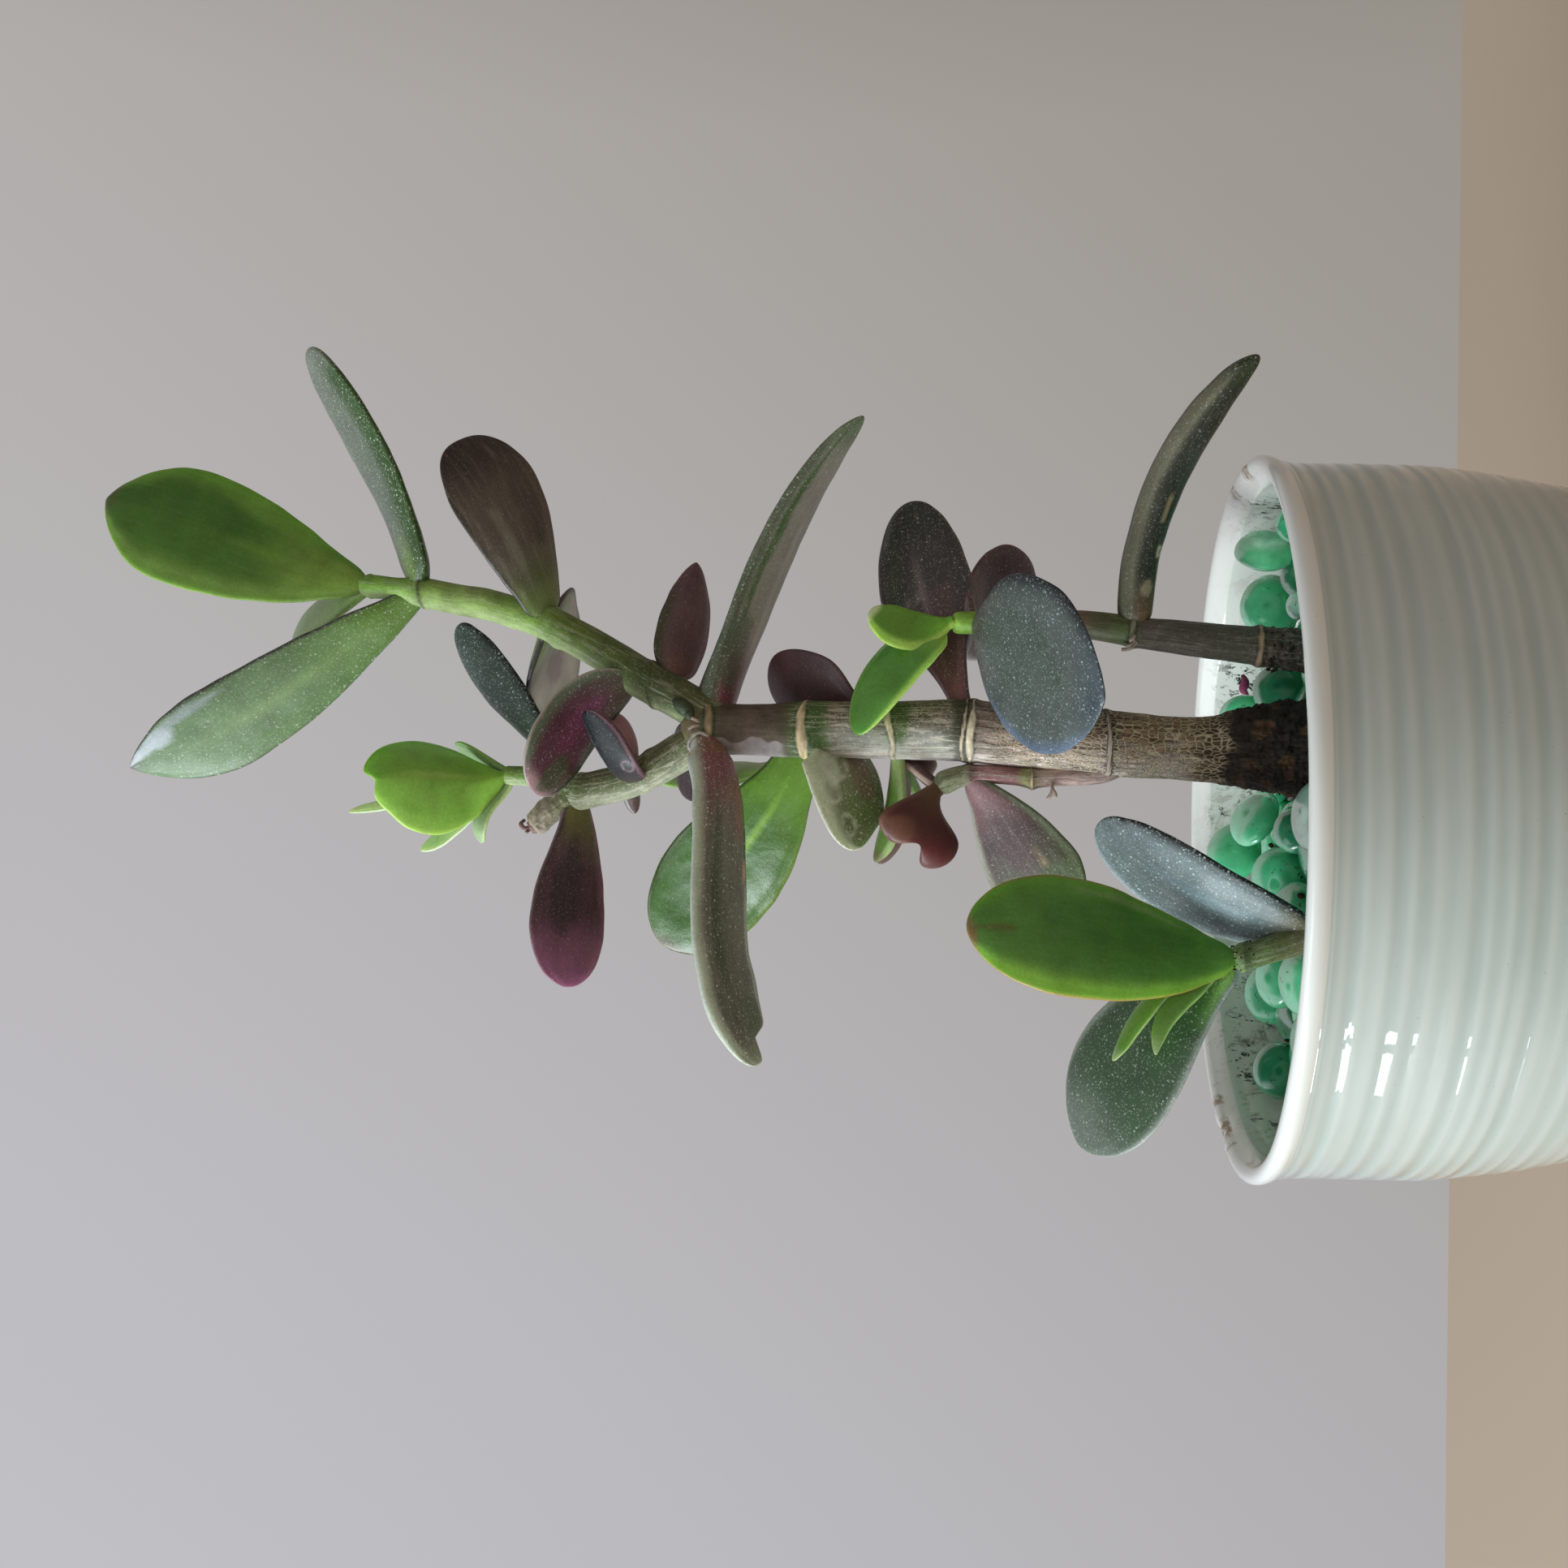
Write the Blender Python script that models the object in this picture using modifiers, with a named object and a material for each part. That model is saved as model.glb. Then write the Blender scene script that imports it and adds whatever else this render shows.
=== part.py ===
# Potted jade plant. A wheel-thrown pot with fine throwing rings holds soil and a layer of flat glass
# beads. Three woody stems stand in the soil and carry thick leaves, each its own solid.
# Metres, +Z up, origin at the middle of the pot's flat foot, the plant's front faces -Y.
import math
import random

import bmesh
import bpy
import numpy as np
from mathutils import Euler, Matrix, Vector

# Clear space between neighbouring solids
GAP = 0.0003
STEM_CLEAR = 1.15 * GAP
LEAF_CLEAR = 2.2 * GAP
SOIL_CLEAR = 2.5 * GAP

# Pot
POT_HEIGHT = 0.115
RIM_RADIUS = 0.075
WALL = 0.004
LIP_HEIGHT = 0.0034
FOOT_RADIUS = 0.045
FLOOR = 0.008
RING_PITCH = 0.0036
RING_DEPTH = 0.0004
RING_COUNT = 9
RING_TOP = 0.1065
POT_STEPS = 44

# Outer wall below the lip, as heights above the table and radii
WALL_CURVE = ((0.107, 0.0733), (0.083, 0.0724), (0.075, 0.0713), (0.067, 0.0699), (0.059, 0.0681),
              (0.0505, 0.0661), (0.036, 0.0615), (0.020, 0.0550), (0.008, 0.0490), (0.003, 0.0465))

# Soil and glass beads
SOIL_TOP = 0.0915
SOIL_RIM_DIP = 0.002
SOIL_STEPS = 32
BEAD_RADIUS = 0.0086
BEAD_HALF_HEIGHT = 0.0050
BEAD_PITCH = 0.0135
BEAD_RING_STEP = 0.0147
BEAD_RINGS = 5
BEAD_JITTER = 0.0009
BEAD_LEAN = 0.45
BEAD_LEVEL = 0.0962
BEAD_HEAP = 0.0003
BEAD_SEED = 7

# Stems: the points of each axis with the radius there, from the soil upwards
TRUNK = (
    ((0.0150, 0, 0.060), 0.0085), ((0.0152, 0, 0.090), 0.0098), ((0.0150, 0, 0.1025), 0.0096),
    ((0.0150, 0, 0.111), 0.0086), ((0.0146, 0, 0.119), 0.0072), ((0.0148, 0, 0.1275), 0.0068),
    ((0.0153, 0, 0.136), 0.0069), ((0.0158, 0, 0.1445), 0.0070), ((0.0165, 0, 0.153), 0.0068),
    ((0.0173, 0, 0.162), 0.0068), ((0.0181, 0, 0.1705), 0.0069), ((0.0184, 0, 0.179), 0.0066),
    ((0.0184, 0, 0.188), 0.0064), ((0.0184, 0, 0.197), 0.0063), ((0.0183, 0, 0.208), 0.0063),
    ((0.0182, 0, 0.2155), 0.0059), ((0.0184, 0, 0.2245), 0.0057), ((0.0186, 0, 0.2315), 0.0058),
)
BRANCH_RIGHT = (
    ((0.0190, 0, 0.226), 0.0046), ((0.0250, 0, 0.236), 0.0046), ((0.0294, 0, 0.2445), 0.0046),
    ((0.0336, 0, 0.251), 0.0042), ((0.0379, 0, 0.2585), 0.0041), ((0.0424, 0, 0.2675), 0.0040),
    ((0.0445, 0, 0.274), 0.0037), ((0.0468, 0, 0.282), 0.0036), ((0.0482, 0, 0.290), 0.0035),
    ((0.0498, 0, 0.298), 0.0034), ((0.0506, 0, 0.304), 0.0027), ((0.0514, 0, 0.311), 0.0027),
)
BRANCH_LEFT = (
    ((0.0185, 0, 0.226), 0.0044), ((0.0134, 0.0005, 0.2355), 0.0044), ((0.0075, 0.001, 0.246), 0.0041),
    ((0.0050, 0.0015, 0.2545), 0.0041), ((0.0040, 0.002, 0.261), 0.0040), ((0.0058, 0.002, 0.266), 0.0027),
    ((0.0072, 0.002, 0.272), 0.0023), ((0.0075, 0.002, 0.2775), 0.0022),
)
STUB = (
    ((0.0040, 0.002, 0.261), 0.0031), ((-0.0007, 0.001, 0.267), 0.0030), ((-0.0036, 0.001, 0.270), 0.0028),
)
SIDE_SHOOT = (
    ((0.0125, -0.001, 0.137), 0.0020), ((0.0092, -0.001, 0.143), 0.0021), ((0.0084, -0.001, 0.153), 0.0020),
    ((0.0080, -0.001, 0.158), 0.0021), ((0.0085, -0.001, 0.1615), 0.0020), ((0.0089, -0.001, 0.170), 0.0021),
    ((0.0082, -0.001, 0.1735), 0.0024), ((0.0068, -0.001, 0.177), 0.0026),
)
RIGHT_STEM = (
    ((0.0345, 0, 0.060), 0.0044), ((0.0355, 0, 0.101), 0.0043), ((0.0365, 0, 0.111), 0.0040),
    ((0.0374, 0, 0.119), 0.0038), ((0.0385, 0, 0.1275), 0.0036), ((0.0396, 0, 0.136), 0.0033),
    ((0.0410, 0, 0.1445), 0.0031), ((0.0416, 0, 0.153), 0.0029), ((0.0419, 0, 0.162), 0.0026),
    ((0.0419, 0, 0.170), 0.0025), ((0.0419, 0, 0.1745), 0.0023),
)
LEFT_STEM = (
    ((-0.0190, -0.015, 0.070), 0.0030), ((-0.0215, -0.015, 0.095), 0.0030),
    ((-0.0230, -0.015, 0.102), 0.0029), ((-0.0263, -0.015, 0.1115), 0.0026),
    ((-0.0280, -0.015, 0.1165), 0.0026),
)

# Raised scars where old leaf pairs sat: heights on the trunk and on the other stems
RING_RISE = 0.0006
RING_HALF = 0.0010
TRUNK_RINGS = (0.1420, 0.1705, 0.1880, 0.2075, 0.2290)
SHOOT_RINGS = (0.1580,)
RIGHT_RINGS = (0.1110, 0.1365)

# Points on the stems that leaves grow from
NODES = {
    "crown": (0.0514, 0, 0.311), "upper": (0.0498, 0, 0.298), "middle": (0.0424, 0, 0.2675),
    "fork_right": (0.0294, 0, 0.2445), "fork_right_back": (0.0285, 0.002, 0.2395),
    "fork_left": (0.0075, 0.001, 0.246), "left_top": (0.0040, 0.002, 0.261),
    "shoot": (0.0075, 0.002, 0.2775), "shoot_back": (0.0078, 0.0036, 0.2785),
    "shoot_low": (0.0075, 0.0028, 0.2765),
    "fork": (0.0186, 0, 0.2305), "fork_front": (0.0150, -0.003, 0.230), "fork_behind": (0.0205, 0.003, 0.233),
    "ring_4": (0.0183, 0, 0.208), "ring_4_back": (0.0130, 0.004, 0.2065), "ring_3": (0.0184, 0, 0.188),
    "ring_2": (0.0182, 0, 0.171), "side_top": (0.0060, -0.001, 0.1775), "side_ring": (0.0082, -0.001, 0.172),
    "right_low": (0.0396, 0, 0.1365), "right_mid": (0.0419, 0, 0.170),
    "right_top_back": (0.0410, 0.0012, 0.1765),
    "right_top_front": (0.0422, -0.0012, 0.175), "left_node": (-0.0280, -0.015, 0.1165),
    "left_node_back": (-0.0282, -0.0136, 0.1175), "left_low": (-0.0225, -0.015, 0.1015),
}

# Leaf colours
YOUNG = (0.16, 0.42, 0.03, 1.0)
GREEN = (0.10, 0.24, 0.09, 1.0)
BLUE = (0.10, 0.15, 0.17, 1.0)
PURPLE = (0.12, 0.03, 0.05, 1.0)
BRONZE = (0.16, 0.09, 0.06, 1.0)

LEAF_THICK = 0.0032
SWELL_REACH = 0.014
LEAF_SIDES = 8
LEAF_LOW_SPANS = 5
LEAF_HIGH_SPANS = 4


def leaf(name, at, colour, heading, rise, length, width, face, **more):
    """One leaf's design. heading and rise aim the line from its foot to its tip, in degrees from +X
    and from level; face is the side its upper skin looks to; bend and sway push that line towards the
    face and sideways at its first and second thirds; widest, stalk, flare and blunt shape the outline;
    crease folds it, notch dents its tip, swell thickens its foot, and behind names leaves that it stands
    clear of."""
    shape = {"thick": LEAF_THICK, "bend": (0, 0), "sway": (0, 0), "widest": 0.6, "stalk": 0.3, "flare": 1.0,
             "blunt": 0.5, "crease": 0.0, "notch": 0.0, "swell": 0.0, "behind": ()}
    shape.update(more)
    return {"name": name, "at": at, "colour": colour, "heading": heading, "rise": rise, "length": length,
            "width": width, "face": face, **shape}


LEAVES = (
    # Top of the right branch
    leaf("crown_front", "crown", YOUNG, heading=339, rise=71, length=0.066, width=0.030, face=(-0.3,
         0.9, 0.2), bend=(0.001, -0.0015), sway=(-0.0025, 0.0005), widest=0.7, stalk=0.2, flare=0.65,
         blunt=0.75),
    leaf("crown_back", "crown", GREEN, heading=148, rise=55, length=0.029, width=0.0145, face=(0.5,
         -0.7, 0.5), bend=(0.0005, 0.0035), sway=(0.0015, -0.0035), widest=0.65, stalk=0.2, flare=1.5,
         behind=("crown_front",)),
    leaf("upper_left", "upper", GREEN, heading=192, rise=58, length=0.080, width=0.021, face=(0.4, 0.8,
         0.4), bend=(0.0025, -0.0065), sway=(-0.0025, -0.005), widest=0.7, stalk=0.25, flare=0.65,
         blunt=0.85),
    leaf("upper_right", "upper", GREEN, heading=349, rise=23, length=0.060, width=0.0225, face=(-0.4,
         -0.6, 0.7), thick=0.0046, bend=(-0.005, -0.0035), sway=(-0.001, 0.0015), widest=0.7,
         stalk=0.65, flare=0.8, blunt=0.45),
    leaf("middle_right", "middle", BRONZE, heading=335, rise=19, length=0.0445, width=0.0235, face=(0,
         0.6, 0.8), bend=(-0.002, -0.0075), sway=(0.002, -0.0005), widest=0.7, stalk=0.45, flare=0.9,
         blunt=0.4),
    leaf("middle_back", "middle", BRONZE, heading=112, rise=10, length=0.0425, width=0.0305, face=(0.3,
         -0.1, 0.9), bend=(0.003, 0.003), sway=(-0.003, -0.003), widest=0.4, stalk=0.55, flare=0.6,
         blunt=0.4, behind=("middle_right",)),
    leaf("fork_left", "fork_right", PURPLE, heading=211, rise=37, length=0.036, width=0.0205, face=(0.4,
         0.5, 0.8), bend=(0.010, 0.002), sway=(0.003, 0), widest=0.65, stalk=0.4, flare=0.6,
         blunt=0.45),
    leaf("fork_right", "fork_right_back", PURPLE, heading=23, rise=-6, length=0.0325, width=0.015,
         face=(-0.1, 0.6, 0.8), bend=(-0.0005, 0.0015), sway=(0, 0.003), widest=0.4, stalk=0.6,
         flare=0.6, blunt=0.7),
    # Left branch and the young shoot on it
    leaf("left_branch_right", "left_top", BLUE, heading=12, rise=39, length=0.0515, width=0.0125,
         face=(-0.2, -0.9, 0.4), bend=(-0.001, 0), sway=(-0.0015, 0.001), widest=0.7, flare=1.15,
         blunt=0.45),
    leaf("left_branch_left", "left_top", PURPLE, heading=190, rise=-3, length=0.0445, width=0.0205,
         face=(-0.1, 0.6, 0.8), bend=(0.001, 0.003), sway=(-0.003, 0.003), widest=0.7, flare=0.8),
    leaf("small_right", "fork_left", BLUE, heading=315, rise=24, length=0.0215, width=0.009, face=(-0.8,
         -0.6, 0.2), thick=0.003, bend=(0.008, 0.0015), sway=(-0.0045, -0.005), widest=0.55, stalk=0.75,
         flare=0.9, blunt=0.4),
    leaf("small_back", "fork_left", PURPLE, heading=17, rise=25, length=0.017, width=0.0085, face=(-0.5,
         0.5, 0.7), bend=(0.0005, 0), sway=(-0.0005, -0.0005), widest=0.65, flare=1.05,
         behind=("fork_left", "small_right")),
    leaf("small_left", "fork_left", PURPLE, heading=162, rise=9, length=0.009, width=0.005, face=(0.2,
         0.3, 0.9), bend=(0.0015, 0.0025), sway=(0.001, -0.0015), widest=0.5, blunt=0.55),
    leaf("shoot_folded", "shoot", YOUNG, heading=264, rise=47, length=0.034, width=0.0235, face=(-0.4,
         0.7, 0.6), bend=(0.003, -0.003), sway=(-0.002, 0.003), widest=0.5, stalk=0.2, flare=0.7,
         blunt=0.7, crease=0.5, notch=0.003),
    leaf("shoot_top", "shoot_back", YOUNG, heading=157, rise=76, length=0.042, width=0.006, face=(0.8,
         -0.5, 0.2), thick=0.002, bend=(-0.0005, -0.001), widest=0.55, behind=("shoot_folded",)),
    leaf("shoot_left", "shoot_back", YOUNG, heading=172, rise=50, length=0.0285, width=0.0085,
         face=(0.6, -0.6, 0.5), thick=0.002, bend=(-0.0015, -0.002), sway=(0.001, 0.0005), flare=0.95,
         blunt=0.55, behind=("shoot_folded", "shoot_top")),
    leaf("shoot_low_left", "shoot_low", YOUNG, heading=191, rise=20, length=0.017, width=0.0065,
         face=(0.4, -0.7, 0.6), thick=0.002, bend=(-0.001, 0.0055), sway=(0.0005, -0.0025), widest=0.75,
         flare=1.05, behind=("shoot_folded", "shoot_top", "shoot_left")),
    leaf("shoot_low_right", "shoot_low", YOUNG, heading=20, rise=63, length=0.017, width=0.0055,
         face=(-0.7, -0.6, 0.4), thick=0.002, widest=0.65, behind=("shoot_folded", "shoot_top",
         "shoot_left", "shoot_low_left")),
    # Trunk, from the fork down
    leaf("trunk_long_left", "fork_front", GREEN, heading=197, rise=-14, length=0.0715, width=0.0175,
         face=(-0.4, 0.4, 0.8), thick=0.0048, bend=(-0.0095, 0.003), sway=(0.0035, 0.0145), widest=0.75,
         stalk=0.75, flare=0.6, blunt=0.4, swell=0.8),
    leaf("trunk_long_right", "fork", GREEN, heading=9, rise=-25, length=0.0805, width=0.018, face=(0.4,
         0.3, 0.9), thick=0.005, bend=(0.0065, 0.0105), sway=(0.008, 0.001), widest=0.4, stalk=0.55,
         flare=0.6, blunt=0.55, swell=0.75),
    leaf("trunk_back", "fork_behind", PURPLE, heading=158, rise=10, length=0.020, width=0.0155,
         face=(-0.2, -0.7, 0.7), bend=(-0.0005, -0.002), sway=(-0.003, -0.0005), widest=0.5, stalk=0.55,
         flare=0.6, blunt=0.45, behind=("trunk_long_right",)),
    leaf("green_left", "ring_4", YOUNG, heading=160, rise=29, length=0.0645, width=0.028, face=(0.4,
         0.9, 0.1), bend=(-0.006, 0.002), sway=(-0.006, 0.0055), widest=0.65, stalk=0.3, flare=0.9,
         blunt=0.4),
    leaf("green_upright", "ring_4_back", YOUNG, heading=104, rise=59, length=0.0485, width=0.0125,
         face=(0.9, -0.4, 0.3), bend=(-0.003, -0.0005), sway=(0.003, -0.001), flare=1.35,
         behind=("green_left", "trunk_back")),
    leaf("speckled_left", "ring_4", GREEN, heading=192, rise=-29, length=0.0295, width=0.0245,
         face=(-0.5, 0.5, 0.7), bend=(-0.004, -0.0015), sway=(-0.0085, 0.0035), widest=0.4, flare=0.65,
         blunt=0.4),
    leaf("purple_right", "ring_3", PURPLE, heading=45, rise=58, length=0.036, width=0.022, face=(-0.4,
         -0.8, 0.5), bend=(0.001, 0), sway=(0.002, -0.0005), widest=0.55, stalk=0.2, flare=1.3,
         blunt=0.45, behind=("speckled_left",)),
    leaf("bud_left", "ring_3", YOUNG, heading=172, rise=8, length=0.030, width=0.0065, face=(0, -0.7,
         0.8), bend=(-0.002, -0.003), sway=(0.0025, 0.003), widest=0.65, stalk=0.25, flare=1.3,
         behind=("speckled_left",)),
    leaf("bud_red", "ring_3", PURPLE, heading=147, rise=6, length=0.0365, width=0.0105, face=(0.4, 0.5,
         0.8), bend=(-0.003, -0.0025), sway=(-0.002, -0.0015), widest=0.75, stalk=0.25, flare=1.1,
         behind=("bud_left",)),
    leaf("bud_low", "ring_3", YOUNG, heading=128, rise=-10, length=0.044, width=0.0045, face=(0, 0, 1),
         thick=0.002, behind=("bud_red", "bud_left")),
    leaf("trunk_dark_right", "ring_2", BRONZE, heading=18, rise=16, length=0.0585, width=0.024,
         face=(0.1, -0.9, 0.5), bend=(0.0005, 0.001), sway=(0.001, 0.0015), stalk=0.2, flare=1.45,
         behind=("right_stem_back",)),
    # Side shoot
    leaf("heart", "side_top", PURPLE, heading=196, rise=26, length=0.0175, width=0.0205, face=(0, 0.9,
         0.5), bend=(0.0005, -0.005), sway=(0.003, -0.001), widest=0.65, stalk=0.2, flare=1.3,
         blunt=0.4, notch=0.005),
    leaf("heart_small", "side_top", PURPLE, heading=56, rise=33, length=0.0145, width=0.0085,
         face=(-0.9, 0.4, 0.2), bend=(0.0005, -0.002), sway=(-0.003, 0.001), widest=0.7, stalk=0.2,
         flare=1.4, behind=("heart", "bud_left", "bud_red", "bud_low")),
    leaf("side_left", "side_ring", BRONZE, heading=173, rise=-38, length=0.038, width=0.0225,
         face=(-0.4, -0.9, 0.3), bend=(-0.0005, 0.0015), sway=(0.002, -0.003), widest=0.7, stalk=0.2,
         flare=0.75),
    # Right stem
    leaf("right_stem_long", "right_low", BLUE, heading=345, rise=-22, length=0.0605, width=0.009,
         face=(0.4, 0.6, 0.7), thick=0.0075, bend=(0.0095, 0.010), sway=(-0.0025, -0.0025), widest=0.55,
         stalk=0.8, flare=0.75),
    leaf("right_stem_front", "right_mid", BLUE, heading=243, rise=-31, length=0.0485, width=0.037,
         face=(-0.2, -0.5, 0.8), bend=(0.0065, -0.0005), sway=(-0.0005, -0.0005), widest=0.55,
         stalk=0.2, flare=0.6, blunt=0.75),
    leaf("right_stem_back", "right_mid", BRONZE, heading=66, rise=-23, length=0.0335, width=0.027,
         face=(0.2, 0.3, 0.9), bend=(0.0125, 0.003), sway=(0.004, 0.0025), widest=0.65, stalk=0.45,
         flare=0.7, behind=("right_stem_front",)),
    leaf("right_stem_young_left", "right_top_back", YOUNG, heading=203, rise=35, length=0.032,
         width=0.0145, face=(0.4, -0.8, 0.4), bend=(0.003, 0.003), sway=(-0.003, -0.003), widest=0.4,
         stalk=0.6, flare=0.6, blunt=0.55, behind=("right_stem_young_right",)),
    leaf("right_stem_young_right", "right_top_front", YOUNG, heading=302, rise=78, length=0.0185,
         width=0.0115, face=(-0.5, 0.8, 0.2), thick=0.003, bend=(0.003, 0.003), sway=(-0.003, -0.003),
         stalk=0.2, flare=0.6, blunt=0.45),
    # Left stem
    leaf("left_stem_front", "left_node", YOUNG, heading=296, rise=76, length=0.056, width=0.024,
         face=(-0.2, 0.9, 0.2), bend=(0.003, -0.003), sway=(-0.003, 0.003), widest=0.65, stalk=0.2,
         flare=0.6, blunt=0.55),
    leaf("left_stem_left", "left_node", GREEN, heading=156, rise=32, length=0.057, width=0.030,
         face=(0.2, -0.6, 0.7), bend=(0.003, 0.003), sway=(-0.003, -0.003), widest=0.65, stalk=0.25,
         flare=0.85, blunt=0.6, behind=("left_stem_front", "left_stem_young_1", "left_stem_young_2")),
    leaf("left_stem_right", "left_low", BLUE, heading=9, rise=63, length=0.048, width=0.021, face=(-0.6,
         -0.7, 0.4), bend=(0.004, 0.004), sway=(0.003, 0.003), stalk=0.45, flare=0.6, blunt=0.45),
    leaf("left_stem_young_1", "left_node_back", YOUNG, heading=186, rise=48, length=0.032, width=0.0065,
         face=(0.7, -0.4, 0.6), thick=0.002, bend=(0.0065, 0.0025), sway=(-0.0045, -0.0015), widest=0.5,
         blunt=0.55, behind=("left_stem_front",)),
    leaf("left_stem_young_2", "left_node_back", YOUNG, heading=199, rise=38, length=0.0255,
         width=0.0055, face=(0.6, -0.7, 0.4), thick=0.002, bend=(0.0015, 0.0035), sway=(-0.0015,
         -0.0045), widest=0.45, blunt=0.65, behind=("left_stem_front", "left_stem_young_1")),
)


def clear_scene():
    for item in list(bpy.data.objects):
        bpy.data.objects.remove(item, do_unlink=True)


def new_collection(name, helper=False):
    group = bpy.data.collections.new(name)
    bpy.context.scene.collection.children.link(group)
    group.hide_render = helper
    return group


def material(name, colour, roughness, transmission=0.0):
    made = bpy.data.materials.new(name)
    made.use_nodes = True
    shader = made.node_tree.nodes["Principled BSDF"]
    shader.inputs["Base Color"].default_value = colour
    shader.inputs["Roughness"].default_value = roughness
    shader.inputs["Transmission Weight"].default_value = transmission
    made.diffuse_color = colour
    return made


def add_object(name, mesh, group, cutter=False):
    made = bpy.data.objects.new(name, mesh)
    group.objects.link(made)
    if cutter:
        made.hide_render = True
        made.display_type = "WIRE"
    return made


def mesh_from(name, bm):
    bmesh.ops.recalc_face_normals(bm, faces=bm.faces)
    mesh = bpy.data.meshes.new(name)
    bm.to_mesh(mesh)
    bm.free()
    return mesh


def applied(item):
    """Puts the evaluated shape in place of the object's mesh and drops its modifiers."""
    graph = bpy.context.evaluated_depsgraph_get()
    mesh = bpy.data.meshes.new_from_object(item.evaluated_get(graph))
    item.modifiers.clear()
    item.data = mesh


def keep_largest(item):
    """Keeps the shell with the most volume, so that sealed hollows and loose scraps go."""
    bm = bmesh.new()
    bm.from_mesh(item.data)
    bmesh.ops.remove_doubles(bm, verts=bm.verts, dist=1e-6)
    bmesh.ops.dissolve_degenerate(bm, edges=bm.edges, dist=1e-6)
    left = set(bm.verts)
    shells = []
    while left:
        front = [left.pop()]
        shell = set(front)
        while front:
            for edge in front.pop().link_edges:
                for vert in edge.verts:
                    if vert in left:
                        left.discard(vert)
                        shell.add(vert)
                        front.append(vert)
        shells.append(shell)
    if len(shells) > 1:
        spans = []
        for shell in shells:
            points = np.array([vert.co[:] for vert in shell])
            spans.append(float(np.prod(np.ptp(points, axis=0) + 1e-6)))
        kept = shells[spans.index(max(spans))]
        bmesh.ops.delete(bm, geom=[vert for vert in bm.verts if vert not in kept], context="VERTS")
    bm.to_mesh(item.data)
    bm.free()


def boolean(item, operation, other=None, group=None, solver="MANIFOLD"):
    step = item.modifiers.new(operation.lower(), "BOOLEAN")
    step.operation = operation
    step.solver = solver
    if group is not None:
        step.operand_type = "COLLECTION"
        step.collection = group
    else:
        step.object = other


def turned(name, profile, steps, group, cutter=False):
    """A solid of revolution. The profile runs from the axis out, down its outer side and back in."""
    mesh = bpy.data.meshes.new(name)
    points = [(radius, 0.0, height) for radius, height in profile]
    mesh.from_pydata(points, [(i, i + 1) for i in range(len(points) - 1)], [])
    item = add_object(name, mesh, group, cutter)
    screw = item.modifiers.new("turn", "SCREW")
    screw.axis = "Z"
    screw.steps = steps
    screw.render_steps = steps
    screw.use_merge_vertices = True
    screw.merge_threshold = 0.00001
    applied(item)
    return item


def wall_radius(height):
    heights = [row[0] for row in WALL_CURVE][::-1]
    radii = [row[1] for row in WALL_CURVE][::-1]
    return float(np.interp(height, heights, radii))


def pot_profile():
    top = POT_HEIGHT
    inner = RIM_RADIUS - WALL
    inside = [(0.0, FLOOR), (0.034, FLOOR), (0.044, FLOOR + 0.004)]
    for height in (0.024, 0.044, 0.064, 0.084):
        inside.append((wall_radius(height) - WALL, height))
    inside.append((inner, 0.104))
    lip = [(inner, top - 0.0012), (inner + 0.0012, top), (RIM_RADIUS - 0.0014, top),
           (RIM_RADIUS, top - 0.0013), (RIM_RADIUS, top - LIP_HEIGHT + 0.0006),
           (RIM_RADIUS - 0.0009, top - LIP_HEIGHT)]
    rings = []
    for i in range(RING_COUNT):
        trough = RING_TOP - RING_PITCH * i
        crest = trough - RING_PITCH / 2
        rings.append((wall_radius(trough) - RING_DEPTH, trough))
        rings.append((wall_radius(crest), crest))
    last = rings[-1][1]
    lower = [(radius, height) for height, radius in WALL_CURVE if height < last - 0.002]
    foot = [(FOOT_RADIUS, 0.0), (0.0, 0.0)]
    return inside + lip + rings + lower + foot


def build_pot(group):
    return turned("pot", pot_profile(), POT_STEPS, group)


def stem_axis(path, rings=()):
    """The path's points and radii with a raised ring added at each height in rings."""
    points = np.array([row[0] for row in path], float)
    radii = np.array([row[1] for row in path], float)
    heights = points[:, 2]
    extra = []
    for ring in rings:
        for offset, rise in ((-RING_HALF, 0.0), (0.0, RING_RISE), (RING_HALF, 0.0)):
            height = ring + offset
            at = [float(np.interp(height, heights, points[:, i])) for i in range(2)] + [height]
            extra.append((tuple(at), float(np.interp(height, heights, radii)) + rise))
    kept = [row for row in path if all(abs(row[0][2] - ring) > 1.4 * RING_HALF for ring in rings)]
    return sorted(kept + extra, key=lambda row: row[0][2])


def tube(name, path, sides, grow, group, cutter=False):
    """A round bar along the path, its radius set at each point, with closed ends."""
    curve = bpy.data.curves.new(name, "CURVE")
    curve.dimensions = "3D"
    curve.bevel_depth = 1.0
    curve.bevel_resolution = (sides - 4) // 2
    curve.use_fill_caps = True
    curve.twist_mode = "MINIMUM"
    line = curve.splines.new("POLY")
    line.points.add(len(path) - 1)
    for point, (place, radius) in zip(line.points, path):
        point.co = (*place, 1.0)
        point.radius = radius + grow
    guide = bpy.data.objects.new(name, curve)
    group.objects.link(guide)
    graph = bpy.context.evaluated_depsgraph_get()
    mesh = bpy.data.meshes.new_from_object(guide.evaluated_get(graph))
    bpy.data.objects.remove(guide, do_unlink=True)
    bpy.data.curves.remove(curve)
    bm = bmesh.new()
    bm.from_mesh(mesh)
    bmesh.ops.remove_doubles(bm, verts=bm.verts, dist=1e-6)
    bmesh.ops.recalc_face_normals(bm, faces=bm.faces)
    bm.to_mesh(mesh)
    bm.free()
    return add_object(name, mesh, group, cutter)


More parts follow.
